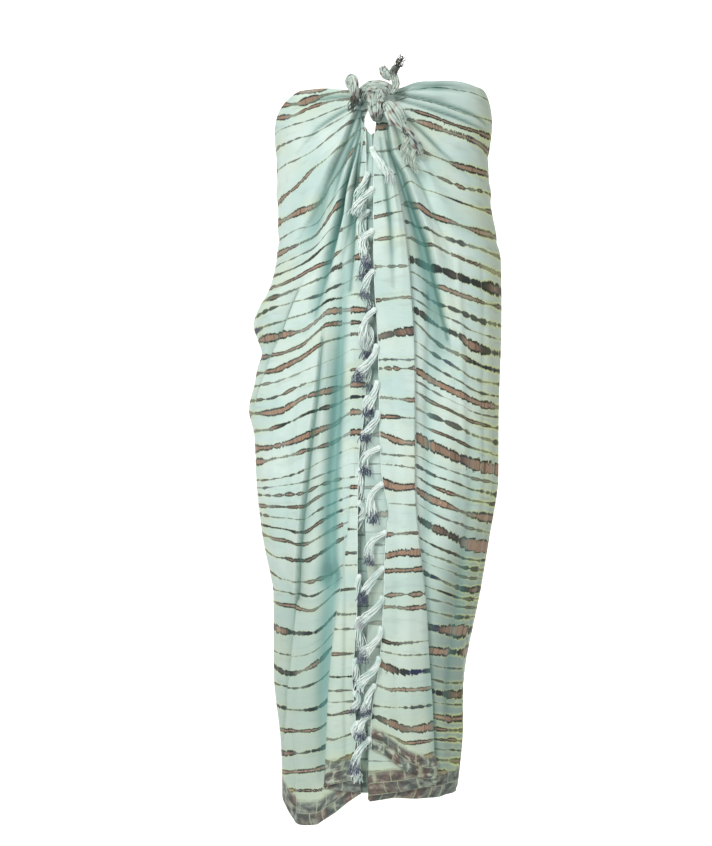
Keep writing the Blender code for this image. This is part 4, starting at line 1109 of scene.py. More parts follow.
def yarn_tree():
    """The tree that lays a bundle of twisted yarns along every path of its input."""
    tree = bpy.data.node_groups.new("yarn_bundle", "GeometryNodeTree")
    face = tree.interface
    face.new_socket("Paths", in_out="INPUT", socket_type="NodeSocketGeometry")
    sizes = (
        ("Yarns", "NodeSocketInt", 7), ("Yarn Radius", "NodeSocketFloat", 0.0009),
        ("Head Spread", "NodeSocketFloat", 0.0015), ("Tip Spread", "NodeSocketFloat", 0.004),
        ("Twists", "NodeSocketFloat", 2.0), ("Wander", "NodeSocketFloat", 0.003),
        ("Tip Thickness", "NodeSocketFloat", 0.6), ("Sides", "NodeSocketInt", 5),
        ("Finish", "NodeSocketMaterial", None),
    )
    for name, kind, value in sizes:
        socket = face.new_socket(name, in_out="INPUT", socket_type=kind)
        if value is not None:
            socket.default_value = value
    face.new_socket("Yarns", in_out="OUTPUT", socket_type="NodeSocketGeometry")
    given = tree.nodes.new("NodeGroupInput")
    result = tree.nodes.new("NodeGroupOutput")

    def add(kind, settings=(), **inputs):
        node = tree.nodes.new(kind)
        for key, value in dict(settings).items():
            setattr(node, key, value)
        for key, value in inputs.items():
            index = int(key[1:]) if key[0] == "i" and key[1:].isdigit() else key.replace("_", " ")
            if isinstance(value, bpy.types.NodeSocket):
                tree.links.new(value, node.inputs[index])
            else:
                node.inputs[index].default_value = value
        return node

    def maths(operation, first, second):
        return add("ShaderNodeMath", {"operation": operation}, i0=first, i1=second).outputs[0]

    def vectors(operation, first, second):
        return add("ShaderNodeVectorMath", {"operation": operation}, i0=first, i1=second).outputs[0]

    def scaled(vector, amount):
        node = add("ShaderNodeVectorMath", {"operation": "SCALE"}, i0=vector, Scale=amount)
        return node.outputs[0]

    curves = add("GeometryNodeMeshToCurve", i0=given.outputs["Paths"]).outputs[0]
    copies = add("GeometryNodeDuplicateElements", {"domain": "SPLINE"}, i0=curves,
                 Amount=given.outputs["Yarns"])
    number = copies.outputs["Duplicate Index"]
    along = add("GeometryNodeSplineParameter").outputs["Factor"]
    kept = add("GeometryNodeStoreNamedAttribute", {"data_type": "FLOAT", "domain": "POINT"},
               Geometry=copies.outputs["Geometry"], Name="along", Value=along).outputs[0]
    share = maths("DIVIDE", number, given.outputs["Yarns"])
    turns = maths("ADD", share, maths("MULTIPLY", along, given.outputs["Twists"]))
    angle = maths("MULTIPLY", turns, 2 * math.pi)
    tangent = add("GeometryNodeInputTangent").outputs[0]
    normal = add("GeometryNodeInputNormal").outputs[0]
    second = vectors("CROSS_PRODUCT", tangent, normal)
    widening = maths("POWER", along, SPREAD_GROWTH)
    spread = add("ShaderNodeMapRange", {}, Value=widening, i1=0.0, i2=1.0,
                 i3=given.outputs["Head Spread"], i4=given.outputs["Tip Spread"]).outputs[0]
    rank = maths("MULTIPLY", maths("MODULO", number, RANKS), RANK_STEP)
    spread = maths("MULTIPLY", spread, maths("ADD", rank, NEAREST_RANK))
    around = vectors("ADD", scaled(normal, maths("MULTIPLY", maths("COSINE", angle, 0.0), spread)),
                     scaled(second, maths("MULTIPLY", maths("SINE", angle, 0.0), spread)))
    where = add("GeometryNodeInputPosition").outputs[0]
    own = add("ShaderNodeCombineXYZ", X=number, Y=number, Z=number).outputs[0]
    shifted = vectors("ADD", where, scaled(own, YARN_APART))
    wave = add("ShaderNodeTexNoise", {}, Vector=shifted, Scale=WANDER_SCALE, Detail=1.0).outputs["Color"]
    wander = scaled(vectors("SUBTRACT", wave, (0.5, 0.5, 0.5)),
                    maths("MULTIPLY", maths("MULTIPLY", along, 2.0), given.outputs["Wander"]))
    offset = vectors("ADD", around, wander)
    moved = add("GeometryNodeSetPosition", Geometry=kept, Offset=offset).outputs[0]
    thickness = add("ShaderNodeMapRange", {}, Value=along, i1=THINNER_FROM, i2=1.0, i3=1.0,
                    i4=given.outputs["Tip Thickness"]).outputs[0]
    sized = add("GeometryNodeSetCurveRadius", Curve=moved, Radius=thickness).outputs[0]
    ring = add("GeometryNodeCurvePrimitiveCircle", Resolution=given.outputs["Sides"],
               Radius=given.outputs["Yarn Radius"]).outputs[0]
    tube = add("GeometryNodeCurveToMesh", Curve=sized, Profile_Curve=ring, Fill_Caps=True)
    if "Scale" in tube.inputs:
        tree.links.new(thickness, tube.inputs["Scale"])
    smooth = add("GeometryNodeSetShadeSmooth", Geometry=tube.outputs[0]).outputs[0]
    real = add("GeometryNodeRealizeInstances", Geometry=smooth).outputs[0]
    done = add("GeometryNodeSetMaterial", Geometry=real, Material=given.outputs["Finish"]).outputs[0]
    tree.links.new(done, result.inputs[0])
    return tree


def path_mesh(name, paths, dyes):
    """A mesh of open chains of points, one for each path, with how strongly each tip is dyed."""
    points = []
    edges = []
    shades = []
    for path, dye in zip(paths, dyes):
        first = len(points)
        points += [tuple(np.asarray(point) * MM) for point in path]
        edges += [(first + step, first + step + 1) for step in range(len(path) - 1)]
        shades += [dye] * len(path)
    mesh = bpy.data.meshes.new(name)
    mesh.from_pydata(points, edges, [])
    attribute = mesh.attributes.new("dye", "FLOAT", "POINT")
    attribute.data.foreach_set("value", shades)
    return mesh


def spun(name, paths, dyes, tree, material, **sizes):
    """Yarns laid along paths by the tree, as a plain mesh."""
    carrier = bpy.data.objects.new(name, path_mesh(name, paths, dyes))
    bpy.context.scene.collection.objects.link(carrier)
    modifier = carrier.modifiers.new("yarns", "NODES")
    modifier.node_group = tree
    names = {item.name: item.identifier for item in tree.interface.items_tree if item.in_out == "INPUT"}
    for key, value in sizes.items():
        modifier[names[key.replace("_", " ").title()]] = value
    modifier[names["Finish"]] = material
    bpy.context.view_layer.update()
    graph = bpy.context.evaluated_depsgraph_get()
    mesh = bpy.data.meshes.new_from_object(carrier.evaluated_get(graph))
    mesh.name = name
    bpy.data.objects.remove(carrier)
    return mesh


def joined(name, meshes):
    """Several meshes as one."""
    first = None
    parts = []
    for mesh in meshes:
        part = bpy.data.objects.new(mesh.name, mesh)
        bpy.context.scene.collection.objects.link(part)
        parts.append(part)
        first = first or part
    with bpy.context.temp_override(active_object=first, selected_editable_objects=parts,
                                   selected_objects=parts, object=first):
        bpy.ops.object.join()
    mesh = first.data
    mesh.name = name
    bpy.data.objects.remove(first)
    return mesh


TASSEL_STATIONS = 12
HEAD_STATIONS = 34
# What each tassel's own chance does: shares of its listed swing and drop, a bend aside and its tip's dye
SWING_SHARES = (0.75, 1.2)
DROP_SHARES = (1.05, 1.45)
SWAY = (-7, 7)        # millimetres aside at most
SWAY_TURN = 1.6       # half waves of that bend down a tassel
DROP_GROWTH = 1.2     # how late a tassel starts to fall
TIP_DYES = (0.3, 1.0)
TASSEL_YARNS = {"yarns": 18, "yarn_radius": 0.85 * MM, "head_spread": 2.9 * MM, "tip_spread": 7.6 * MM,
                "twists": 0.5, "wander": 7.5 * MM}
HEAD_YARNS = {"yarns": 2, "yarn_radius": 1.25 * MM, "head_spread": 1.0 * MM, "tip_spread": 1.0 * MM,
              "twists": 5.0, "wander": 0.6 * MM, "tip_thickness": 1.0}
EDGE_YARNS = {"yarns": 2, "yarn_radius": 0.5 * MM, "head_spread": 0.35 * MM, "tip_spread": 0.35 * MM,
              "twists": 90.0, "wander": 0.3 * MM, "tip_thickness": 1.0}
EDGE_FIRST_ROW = 4
EDGE_ROW_STEP = 3
FRAY_YARNS = {"yarn_radius": 0.62 * MM, "twists": 0.6, "wander": 5.0 * MM}


def tassel_path(start, across, forward, drop, sway):
    """A tassel's centre line from its tied head: it starts out sideways and then falls."""
    path = []
    for step in range(TASSEL_STATIONS):
        share = step / (TASSEL_STATIONS - 1)
        swung = math.sin(share * math.pi / 2)
        bend = sway * math.sin(share * math.pi * SWAY_TURN)
        fallen = drop * share**DROP_GROWTH
        path.append(start + np.array([across * swung + bend, -forward * swung, -fallen]))
    return path


def head_path(centre, away, face):
    """A yarn wound round and round as the small tied head of a tassel."""
    path = []
    up = np.array([0.0, 0.0, 1.0])
    for step in range(HEAD_STATIONS):
        share = step / (HEAD_STATIONS - 1)
        turn = share * HEAD_WINDS * 2 * math.pi
        tilt = share * math.pi
        ring = (away * math.cos(turn) + face * math.sin(turn) * math.cos(tilt)
                + up * math.sin(turn) * math.sin(tilt))
        path.append(centre + ring * HEAD_RADIUS)
    return path


def make_fringe(side, grid, normals, tassels, tree, material):
    """The tassels of one fringed edge, each a tied head and a bundle of yarns, and the edge's cord."""
    paths = []
    heads = []
    dyes = []
    rng = np.random.default_rng(SEED + (0 if side == "left" else 1))
    for height, across, forward, drop in tassels:
        across = across * rng.uniform(*SWING_SHARES)
        drop = drop * rng.uniform(*DROP_SHARES)
        place, face, away = edge_station(grid, normals, height)
        centre = place + away * HEAD_OUT + face * HEAD_FORWARD
        heads.append(head_path(centre, away, face))
        start = centre + np.array([0, 0, -1.0])
        paths.append(tassel_path(start, across, forward, drop, rng.uniform(*SWAY)))
        dyes.append(rng.uniform(*TIP_DYES))
    bundle = spun(f"tassels_{side}", paths, dyes, tree, material, **TASSEL_YARNS)
    knots = spun(f"heads_{side}", heads, [0.0] * len(heads), tree, material, **HEAD_YARNS)
    edge = []
    for row in range(EDGE_FIRST_ROW, grid.shape[1], EDGE_ROW_STEP):
        edge.append(grid[0, row] + off_edge(grid, row) * EDGE_GAP)
    cord = spun(f"edge_{side}", [edge], [0.0], tree, material, **EDGE_YARNS)
    mesh = joined(f"yarns_{side}", [bundle, knots, cord])
    return new_piece(f"yarns_{side}", mesh, material, (f"fringe_{side}",))


# The knot and the tied corners' ends

def knot_reach(across, height):
    """How far the knot's surface stands forward of its middle."""
    centre, wide, deep = (table_value(KNOT_RINGS, column, height) for column in (1, 2, 3))
    return deep * math.sqrt(max(0.0, 1 - ((across - centre) / wide) ** 2))


def smooth_stations(stations, count):
    """More stations along a smooth line through the given ones, with their sizes."""
    stations = np.array(stations, float)
    steps = np.linalg.norm(np.diff(stations[:, :3], axis=0), axis=1)
    places = np.concatenate([[0], np.cumsum(steps)]) / np.sum(steps)
    table = [(place, *station) for place, station in zip(places, stations)]
    shares = np.linspace(0, 1, count)
    columns = [table_value(table, column + 1, shares) for column in range(stations.shape[1])]
    return np.stack(columns, axis=1)


PLEATED_RINGS = 60
PLEATED_SIDES = 96
PLEAT_ROUND = 0.8          # below 1 the crests of the pleats are broad and the valleys narrow
MAIN_PLEATS = 0.7          # share of the depth that the main pleats take; finer ones take the rest
FINER = 1.7                # how much closer together those lie
PLEATS_FADE = 6            # the depth is full one sixth of the length away from each end
END_DEPTH = 0.35           # share of the depth at an end
NO_DARK_END = (1.2, 1.3)   # a dark dye that would start past the end


def pleated_tube(name, centres, halves, pleats, depth, lean, seed, dark=NO_DARK_END, upright=False):
    """A gathered bundle of cloth round a centre line, with pleats along it that wander and fade."""
    rng = np.random.default_rng(seed)
    phases = rng.uniform(0, 2 * math.pi, 4)
    count = len(centres)
    turns = 2 * math.pi * (np.arange(PLEATED_SIDES) + 0.5) / PLEATED_SIDES
    points = []
    fields = {"along": [], "around": [], "crease": [], "dark": []}
    flat = None
    for index, centre in enumerate(centres):
        share = index / (count - 1)
        run = unit(centres[min(index + 1, count - 1)] - centres[max(index - 1, 0)])
        if upright:
            run = np.array([0.0, 0.0, -1.0])
        level = unit(np.cross(run, (0, -1, 0)))
        flat = level if flat is None or level @ flat > 0 else -level
        thick = np.cross(flat, run)
        wide, deep = halves[index]
        wave = pleats * turns / 2 + lean * share + 0.7 * np.sin(2 * turns + phases[0] + 2.2 * share)
        crest = np.abs(np.sin(wave)) ** PLEAT_ROUND
        second = np.abs(np.sin(FINER * wave + phases[1] + 1.3 * math.sin(3 * share + phases[2])))
        rise = crest * MAIN_PLEATS + second * (1 - MAIN_PLEATS)
        ends = min(1.0, PLEATS_FADE * share, PLEATS_FADE * (1 - share))
        amount = depth * (END_DEPTH + (1 - END_DEPTH) * ends)
        for turn, lift in zip(turns, rise):
            grow = 1 - amount * (1 - lift) / deep
            aside = flat * wide * math.cos(turn) + thick * deep * math.sin(turn)
            points.append(centre + aside * grow)
            fields["along"].append(share)
            fields["around"].append(turn / (2 * math.pi))
            fields["crease"].append(1 - lift)
            fields["dark"].append(float(eased((share - dark[0]) / (dark[1] - dark[0]))))
    faces = []
    for ring in range(count - 1):
        low = ring * PLEATED_SIDES
        for step in range(PLEATED_SIDES):
            following = (step + 1) % PLEATED_SIDES
            faces.append((low + step, low + following, low + PLEATED_SIDES + following,
                          low + PLEATED_SIDES + step))
    for ring, order in ((0, 1), (count - 1, -1)):
        start = ring * PLEATED_SIDES
        middle = len(points)
        points.append(np.mean(points[start:start + PLEATED_SIDES], axis=0))
        for field in fields.values():
            field.append(field[start])
        for step in range(PLEATED_SIDES):
            following = (step + 1) % PLEATED_SIDES
            pair = (start + following, start + step) if order > 0 else (start + step, start + following)
            faces.append((middle, *pair))
    mesh = bpy.data.meshes.new(name)
    mesh.from_pydata([tuple(point * MM) for point in points], [], faces)
    for field, values in fields.items():
        attribute = mesh.attributes.new(field, "FLOAT", "POINT")
        attribute.data.foreach_set("value", values)
    mesh.shade_smooth()
    return mesh


def knot_middle_from_solid():
    """Where the knot's middle lies from front to back, from the solid's own box."""
    low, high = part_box("knot")
    return (low[1] + high[1]) / 2 / MM


def make_knot(material):
    """The knot's body, the band that crosses it and the cloth laid over its top."""
    middle = knot_middle_from_solid()
    stations = [(across, 0, height, wide, deep) for height, across, wide, deep in KNOT_RINGS]
    rings = smooth_stations(stations, PLEATED_RINGS)
    centres = [np.array([across, middle, height]) for across, _, height, _, _ in rings]
    halves = [(wide, deep) for *_, wide, deep in rings]
    body = pleated_tube("knot_folds", centres, halves, pleats=20, depth=3.0, lean=4.0, seed=SEED + 2,
                        dark=(0.8, 0.9), upright=True)
    new_piece("knot_folds", body, material, ("knot",))
    stations = []
    for across, height in KNOT_BAND:
        reach = max(knot_reach(across + BAND_HALF_WIDTH * aside, height) for aside in (-0.5, 0, 0.5))
        forward = reach + BAND_HALF_THICKNESS + KNOT_CLEARANCE
        stations.append((across, middle - forward, height, BAND_HALF_WIDTH, BAND_HALF_THICKNESS))
    rings = smooth_stations(stations, PLEATED_RINGS)
    band = pleated_tube("knot_wrap", list(rings[:, :3]), list(rings[:, 3:]), pleats=12, depth=1.6,
                        lean=1.0, seed=SEED + 3)
    new_piece("knot_wrap", band, material, ("knot_band",))
    stations = []
    for across, height in TOP_WRAP:
        forward = knot_reach(across, height) + WRAP_HALF_THICKNESS
        stations.append((across, middle - forward, height, WRAP_HALF_WIDTH, WRAP_HALF_THICKNESS))
    rings = smooth_stations(stations, PLEATED_RINGS)
    top = pleated_tube("knot_top", list(rings[:, :3]), list(rings[:, 3:]), pleats=14, depth=2.2,
                       lean=5.0, seed=SEED + 8, dark=(0.74, 0.95))
    new_piece("knot_top", top, material)


def make_frays(tree, material):
    """The torn threads at the ends of the tied corners."""
    middle = knot_middle_from_solid()
    bundles = []
    for yarns, root, tip, dark, line in FRAYS:
        table = [(across, middle - forward, height) for across, forward, height in line]
        path = [station[:3] for station in smooth_stations(table, TASSEL_STATIONS)]
        bundles.append(spun("frays", [path], [dark], tree, material, yarns=yarns, head_spread=root * MM,
                            tip_spread=tip * MM, **FRAY_YARNS))
    new_piece("frayed_ends", joined("frayed_ends", bundles), material)


TAILS = (
    # piece, solid, stations, pleats, their depth, seed, where its dark end starts and is full
    ("left_end", "tail_left", LEFT_TAIL, 10, 2.4, 4, (0.6, 1.1)),
    ("up_end", "tail_up", UP_TAIL, 8, 2.2, 5, (0.55, 0.75)),
    ("up_loop", "tail_up_lobe", UP_LOBE, 6, 1.2, 6, NO_DARK_END),
    ("right_end", "tail_right", RIGHT_TAIL, 12, 3.0, 7, (0.5, 1.4)),
)


def make_tail(name, node, stations, pleats, depth, seed, dark, material):
    """One end of a tied corner."""
    middle = knot_middle_from_solid()
    placed = [(across, middle - forward, *rest) for across, forward, *rest in stations]
    rings = smooth_stations(placed, PLEATED_RINGS)
    mesh = pleated_tube(name, list(rings[:, :3]), list(rings[:, 3:]), pleats, depth, lean=2.0,
                        seed=SEED + seed, dark=dark)
    new_piece(name, mesh, material, (node,))


# Finishes

def paint(red, green, blue):
    """A colour given in the usual 0 to 255 steps, as the shader wants it."""
    shares = [value / 255 for value in (red, green, blue)]
    linear = [share / 12.92 if share <= 0.04045 else ((share + 0.055) / 1.055) ** 2.4 for share in shares]
    return (*linear, 1.0)


class Reading:
    """A number in a material's nodes. Working with it adds Math nodes."""

    def __init__(self, finish, socket):
        self.finish = finish
        self.socket = socket

    def _math(self, operation, first, second=0.0):
        node = self.finish.add("ShaderNodeMath", {"operation": operation}, {0: first, 1: second})
        return Reading(self.finish, node.outputs[0])

    def __add__(self, other):
        return self._math("ADD", self, other)

    __radd__ = __add__

    def __sub__(self, other):
        return self._math("SUBTRACT", self, other)

    def __rsub__(self, other):
        return self._math("SUBTRACT", other, self)

    def __mul__(self, other):
        return self._math("MULTIPLY", self, other)

    __rmul__ = __mul__

    def __truediv__(self, other):
        return self._math("DIVIDE", self, other)

    def __rtruediv__(self, other):
        return self._math("DIVIDE", other, self)

    def __abs__(self):
        return self._math("ABSOLUTE", self)

    def rounded(self):
        return self._math("ROUND", self)

    def part(self):
        return self._math("FRACT", self)

    def between(self, low, high):
        """0 at low and beyond it, 1 at high and beyond it, easing between them."""
        node = self.finish.add("ShaderNodeMapRange", {"interpolation_type": "SMOOTHSTEP"},
                               {"Value": self, "From Min": low, "From Max": high})
        return Reading(self.finish, node.outputs[0])


class Finish:
    """One material and its nodes."""

    def __init__(self, name):
        self.material = bpy.data.materials.new(name)
        self.material.use_nodes = True
        self.tree = self.material.node_tree
        self.shader = self.tree.nodes["Principled BSDF"]

    def add(self, kind, settings=None, inputs=None):
        """A node of a type, with its settings and then its inputs' values or links."""
        node = self.tree.nodes.new(kind)
        for key, value in (settings or {}).items():
            setattr(node, key, value)
        for key, value in (inputs or {}).items():
            self.feed(node.inputs[key], value)
        return node

    def feed(self, socket, value):
        if isinstance(value, Reading):
            value = value.socket
        if isinstance(value, bpy.types.NodeSocket):
            self.tree.links.new(value, socket)
        else:
            socket.default_value = value

    def value(self, name):
        """One of the piece's own attributes."""
        node = self.add("ShaderNodeAttribute", {"attribute_name": name})
        return Reading(self, node.outputs["Fac"])

    def place(self, x, y, z=0.0):
        return self.add("ShaderNodeCombineXYZ", {}, {"X": x, "Y": y, "Z": z}).outputs[0]

    def noise(self, place, scale=1.0, detail=1.0, roughness=0.5):
        node = self.add("ShaderNodeTexNoise", {}, {"Vector": place, "Scale": scale, "Detail": detail,
                                                   "Roughness": roughness})
        return Reading(self, node.outputs["Fac"])

    def blend(self, first, second, share):
        """One colour or another, or some of each."""
        node = self.add("ShaderNodeMix", {"data_type": "RGBA"},
                        {"Factor": share, "A": first, "B": second})
        return [socket for socket in node.outputs if socket.type == "RGBA"][0]

    def finish(self, colour, roughness, height, bump, distance, **constants):
        """Feeds the shader, with a bump of a strength and distance. The constants go on its own sockets."""
        node = self.add("ShaderNodeBump", {}, {"Strength": bump, "Distance": distance, "Height": height})
        self.feed(self.shader.inputs["Base Color"], colour)
        self.feed(self.shader.inputs["Roughness"], roughness)
        self.feed(self.shader.inputs["Normal"], node.outputs[0])
        for name, value in constants.items():
            self.feed(self.shader.inputs[name.replace("_", " ")], value)
        return self.material


AQUA = paint(196, 221, 214)
PALE_AQUA = paint(213, 231, 223)
GREEN_TINT = paint(212, 224, 200)
# painted shade in the folds
FOLD_SHADE_TEAL = paint(104, 162, 157)
# a greener hue, darkened as painted shade where light falls off at the sides and low down
SHADED_SIDE_GREEN = paint(180, 194, 172)
SMOKE = paint(150, 166, 152)
# painted shade low down beside the front panels
LOW_SIDE_SHADE = paint(134, 156, 148)
# painted shade along creases and beside steps
CREASE_SHADE_TEAL = paint(66, 112, 102)
BROWN = paint(168, 138, 114)
DEEP_BROWN = paint(116, 94, 80)  # also the dark of torn threads
SLATE = paint(40, 50, 54)
OLIVE = paint(34, 38, 20)
NAVY = paint(28, 40, 84)
HALO = paint(212, 220, 140)
CRACK = paint(190, 204, 186)
HEM_GREY = paint(112, 118, 112)
HEM_BROWN = paint(116, 94, 86)
HEM_PALE = paint(196, 208, 188)
HEM_LINE = paint(178, 190, 160)
YARN_PALE = paint(240, 251, 246)
YARN_AQUA = paint(214, 236, 228)
YARN_SHADE = paint(184, 212, 204)
KNOT_PALE = paint(206, 220, 210)
KNOT_GREY = paint(160, 178, 166)
# painted shade in the knot's pleat valleys
KNOT_CREASE_SHADE = paint(58, 84, 74)
THREAD_PALE = paint(218, 230, 218)
THREAD_GREY = paint(176, 190, 174)
DARK_END = paint(62, 70, 62)
FLOOR_WHITE = paint(250, 250, 250)

# The dye's patterns, in millimetres
STRIPE_WANDER = 4.0        # how far a stripe's line wanders
STRIPE_CELL = 24.0         # from one crack across a stripe to the next
HALO_WIDTH = 4.8           # of the yellow-green rim outside a stripe
GREEN_BELOW = (520.0, 1050.0)  # how far down the cloth turns greener, and darker as painted shade
HEM_ROW = 17.0             # height of one row of the hem's blocks
HEM_BLOCK = 25.0           # length of one block
HEM_BORDER = (39.0, 28.0)  # heights above the hem between which the blocks start
HEM_HALO = (48.0, 36.0)    # the same for the yellow-green above them


def cloth_ground(look, run, drop, place, halo):
    """The aqua ground: mottled, greener at the sides and low down and darker there as painted shade, with
    grey smudges.
    """
    mottle = look.noise(look.place(run * 0.012, drop * 0.012), detail=2.0)
    ground = look.blend(AQUA, PALE_AQUA, mottle.between(0.35, 0.65))
    tint = look.noise(look.place(run * 0.009, drop * 0.02, 4.0))
    ground = look.blend(ground, GREEN_TINT, tint.between(0.5, 0.72) * 0.5)
    # greener and, as painted shade, darker towards the sides and low down
    ground = look.blend(ground, SHADED_SIDE_GREEN, halo.between(0.4, 1.0) * 0.8)
    ground = look.blend(ground, SHADED_SIDE_GREEN, drop.between(*GREEN_BELOW) * 0.55)
    # painted shade, greyer, low down beside the front panels
    ground = look.blend(ground, LOW_SIDE_SHADE, look.value("low_side_shade"))
    ghost = look.noise(look.place(run * 0.02, place * 2.0, 7.0), detail=2.0)
    ground = look.blend(ground, SMOKE, ghost.between(0.52, 0.75) * (halo * 0.4 + 0.12))
    streak = look.noise(look.place(run * 0.05, drop * 0.5, 12.0))
    return look.blend(ground, SMOKE, streak.between(0.6, 0.75) * 0.16)


def cloth_stripes(look, ground, run, place, halo, swell):
    """The stripes on their ground: dark dye with a brown middle, pale cracks, beads and a green rim."""
    gap = look.value("stripe_gap")
    half = look.value("stripe_half")
    brown = look.value("stripe_brown")
    density = look.value("stripe_density")
    dots = look.value("stripe_dots")
    number = place.rounded()

    # How far a point lies from its stripe's middle line, and which cell of the stripe it is in
    wobble = look.noise(look.place(run * 0.025, number * 1.9, 3.0))
    off = abs((place - number) * gap + (wobble - 0.5) * STRIPE_WANDER)
    shift = look.noise(look.place(run * 0.018, number * 5.3, 1.0))
    cell = (run / STRIPE_CELL + number * 0.37 + shift * 2.2).part()
    border = abs(cell - 0.5)
    pinch = border.between(0.5, 0.38)
    bead = border.between(0.46, 0.18)

    # The stripe's width, which swells, fades and breaks up, and its ragged edge
    fade = look.noise(look.place(run * 0.018, number * 4.3, 11.0))
    full = fade.between(0.35, 0.56)
    full = full + (1 - full) * half.between(2.6, 4.0)
    width = half * (swell.between(0.3, 0.68) * 1.1 + 0.7) * (pinch * 0.3 + 0.75) * (full * 0.6 + 0.45)
    width = width * (1 - dots * 0.75 * (1 - bead)) * (1 + halo * 0.65)
    ragged = look.noise(look.place(run * 0.5, off * 0.4, number * 2.3), detail=3.0, roughness=0.6)
    spikes = look.noise(look.place(run * 0.42, number * 6.7, 4.0), detail=2.0, roughness=0.6)
    edge = width + (ragged - 0.5) * (half * 1.1 + 0.8) + (spikes - 0.5) * half * (halo * 3.0 + 0.9)
    inside = (edge - off).between(-0.5, 0.5) * half.between(0.05, 0.4)
    core = (edge * (0.86 - halo * 0.22) - shift * 1.2 - 0.7 - off).between(-0.5, 0.9)
    crack = border.between(0.47, 0.49) * half.between(1.4, 2.4) * ragged.between(0.35, 0.5)

    # Its colours
    ticks = look.noise(look.place(run * 0.34, number * 8.1, 2.0))
    shade = look.noise(look.place(run * 0.016, number * 2.9, 9.0))
    ink = look.blend(SLATE, OLIVE, halo * shade.between(0.25, 0.45))
    ink = look.blend(ink, NAVY, shade.between(0.6, 0.72) * 0.75)
    earth = look.blend(BROWN, DEEP_BROWN, ticks.between(0.45, 0.7) * 0.8 + halo * 0.2)
    patchy = (swell + brown - 0.9).between(-0.12, 0.16) * (1 - ticks.between(0.62, 0.75) * halo * 0.7)
    stripe = look.blend(ink, earth, core * patchy)
    stripe = look.blend(stripe, CRACK, crack * 0.4)
    strength = inside * (density * 0.6 + 0.4) * density.between(0.0, 0.2) * (full * 0.32 + 0.66)
    rim = (edge + HALO_WIDTH - off).between(0.0, HALO_WIDTH) * half.between(0.2, 1.5) * halo * density
    colour = look.blend(ground, HALO, rim * 0.82)
    return look.blend(colour, stripe, strength)


def hem_blocks(look, colour, run, swell):
    """The border of dye along the hem, parted by pale lines into rows of blocks."""
    above = look.value("above_hem")
    tall = above + (swell - 0.5) * 5.0
    row = (tall / HEM_ROW - 0.5).rounded()
    start = look.noise(look.place(run * 0.03, row * 4.0, 2.0))
    bricks = run / HEM_BLOCK + row * 0.47 + start * 1.6
    seam = abs(bricks.part() - 0.5).between(0.485, 0.43)
    level = abs((tall / HEM_ROW).part() - 0.5).between(0.49, 0.44)
    tone = look.noise(look.place(bricks.rounded() * 3.1, row * 2.7, 5.0), detail=0.0)
    cloud = look.noise(look.place(run * 0.08, above * 0.12, 1.0), detail=2.0)
    lower = 1 - row.between(0.0, 3.0) * 0.5
    brick = look.blend(HEM_GREY, HEM_BROWN, tone.between(0.42, 0.6) * lower)
    brick = look.blend(brick, SLATE, cloud.between(0.42, 0.66) * 0.7)
    brick = look.blend(brick, HEM_PALE, cloud.between(0.5, 0.3) * (look.value("on_panel") * 0.55 + 0.3))
    brick = look.blend(brick, HEM_LINE, (1 - seam * level) * 0.6)
    rim = (tall + (cloud - 0.5) * 10.0).between(*HEM_HALO)
    colour = look.blend(colour, HALO, rim * 0.16)
    border = (tall + (cloud - 0.5) * 14.0).between(*HEM_BORDER)
    return look.blend(colour, brick, border * 0.95)


def cloth_finish():
    """Thin aqua rayon with uneven tie-dye stripes."""
    look = Finish("tie_dyed_rayon")
    run = look.value("run")
    drop = look.value("drop")
    place = look.value("stripe_place")
    halo = look.value("stripe_halo")
    swell = look.noise(look.place(run * 0.015, place.rounded() * 3.7))
    colour = cloth_ground(look, run, drop, place, halo)
    colour = cloth_stripes(look, colour, run, place, halo, swell)
    colour = hem_blocks(look, colour, run, swell)
    # painted teal shade, deeper in the folds
    colour = look.blend(colour, FOLD_SHADE_TEAL, look.value("painted_fold_shade").between(0.05, 1.0) * 0.75)
    # painted shade lines along sharp creases and beside steps
    colour = look.blend(colour, CREASE_SHADE_TEAL, look.value("painted_crease_shade") * 0.78)
    weave = look.noise(look.place(run * 1.4, drop * 0.25, 0.0), detail=2.0)
    weft = look.noise(look.place(run * 0.25, drop * 1.4, 8.0), detail=2.0)
    crumple = look.noise(look.place(run * 0.09, drop * 0.05, 6.0), detail=2.0)
    height = weave * 0.25 + weft * 0.25 + crumple * 1.6
    return look.finish(colour, weave * 0.1 + 0.62, height, bump=0.5, distance=0.9 * MM,
                       Sheen_Weight=0.12, Sheen_Roughness=0.4, Specular_IOR_Level=0.25)


def yarn_finish():
    """Pale twisted yarn with navy tips."""
    look = Finish("pale_yarn")
    along = look.value("along")
    dye = look.value("dye")
    texture = look.add("ShaderNodeTexCoord").outputs["Object"]
    speck = look.noise(texture, scale=420.0, detail=2.0)
    tone = look.noise(texture, scale=60.0)
    colour = look.blend(YARN_PALE, YARN_AQUA, tone.between(0.45, 0.7))
    colour = look.blend(colour, YARN_SHADE, speck.between(0.6, 0.8) * 0.3)
    tip = (along + (speck - 0.5) * 0.4 + (tone - 0.5) * 0.4).between(0.66, 0.84) * dye.between(0.3, 0.7)
    colour = look.blend(colour, NAVY, tip * 0.9)
    return look.finish(colour, speck * 0.1 + 0.75, speck, bump=0.6, distance=0.6 * MM,
                       Sheen_Weight=0.2, Specular_IOR_Level=0.25)


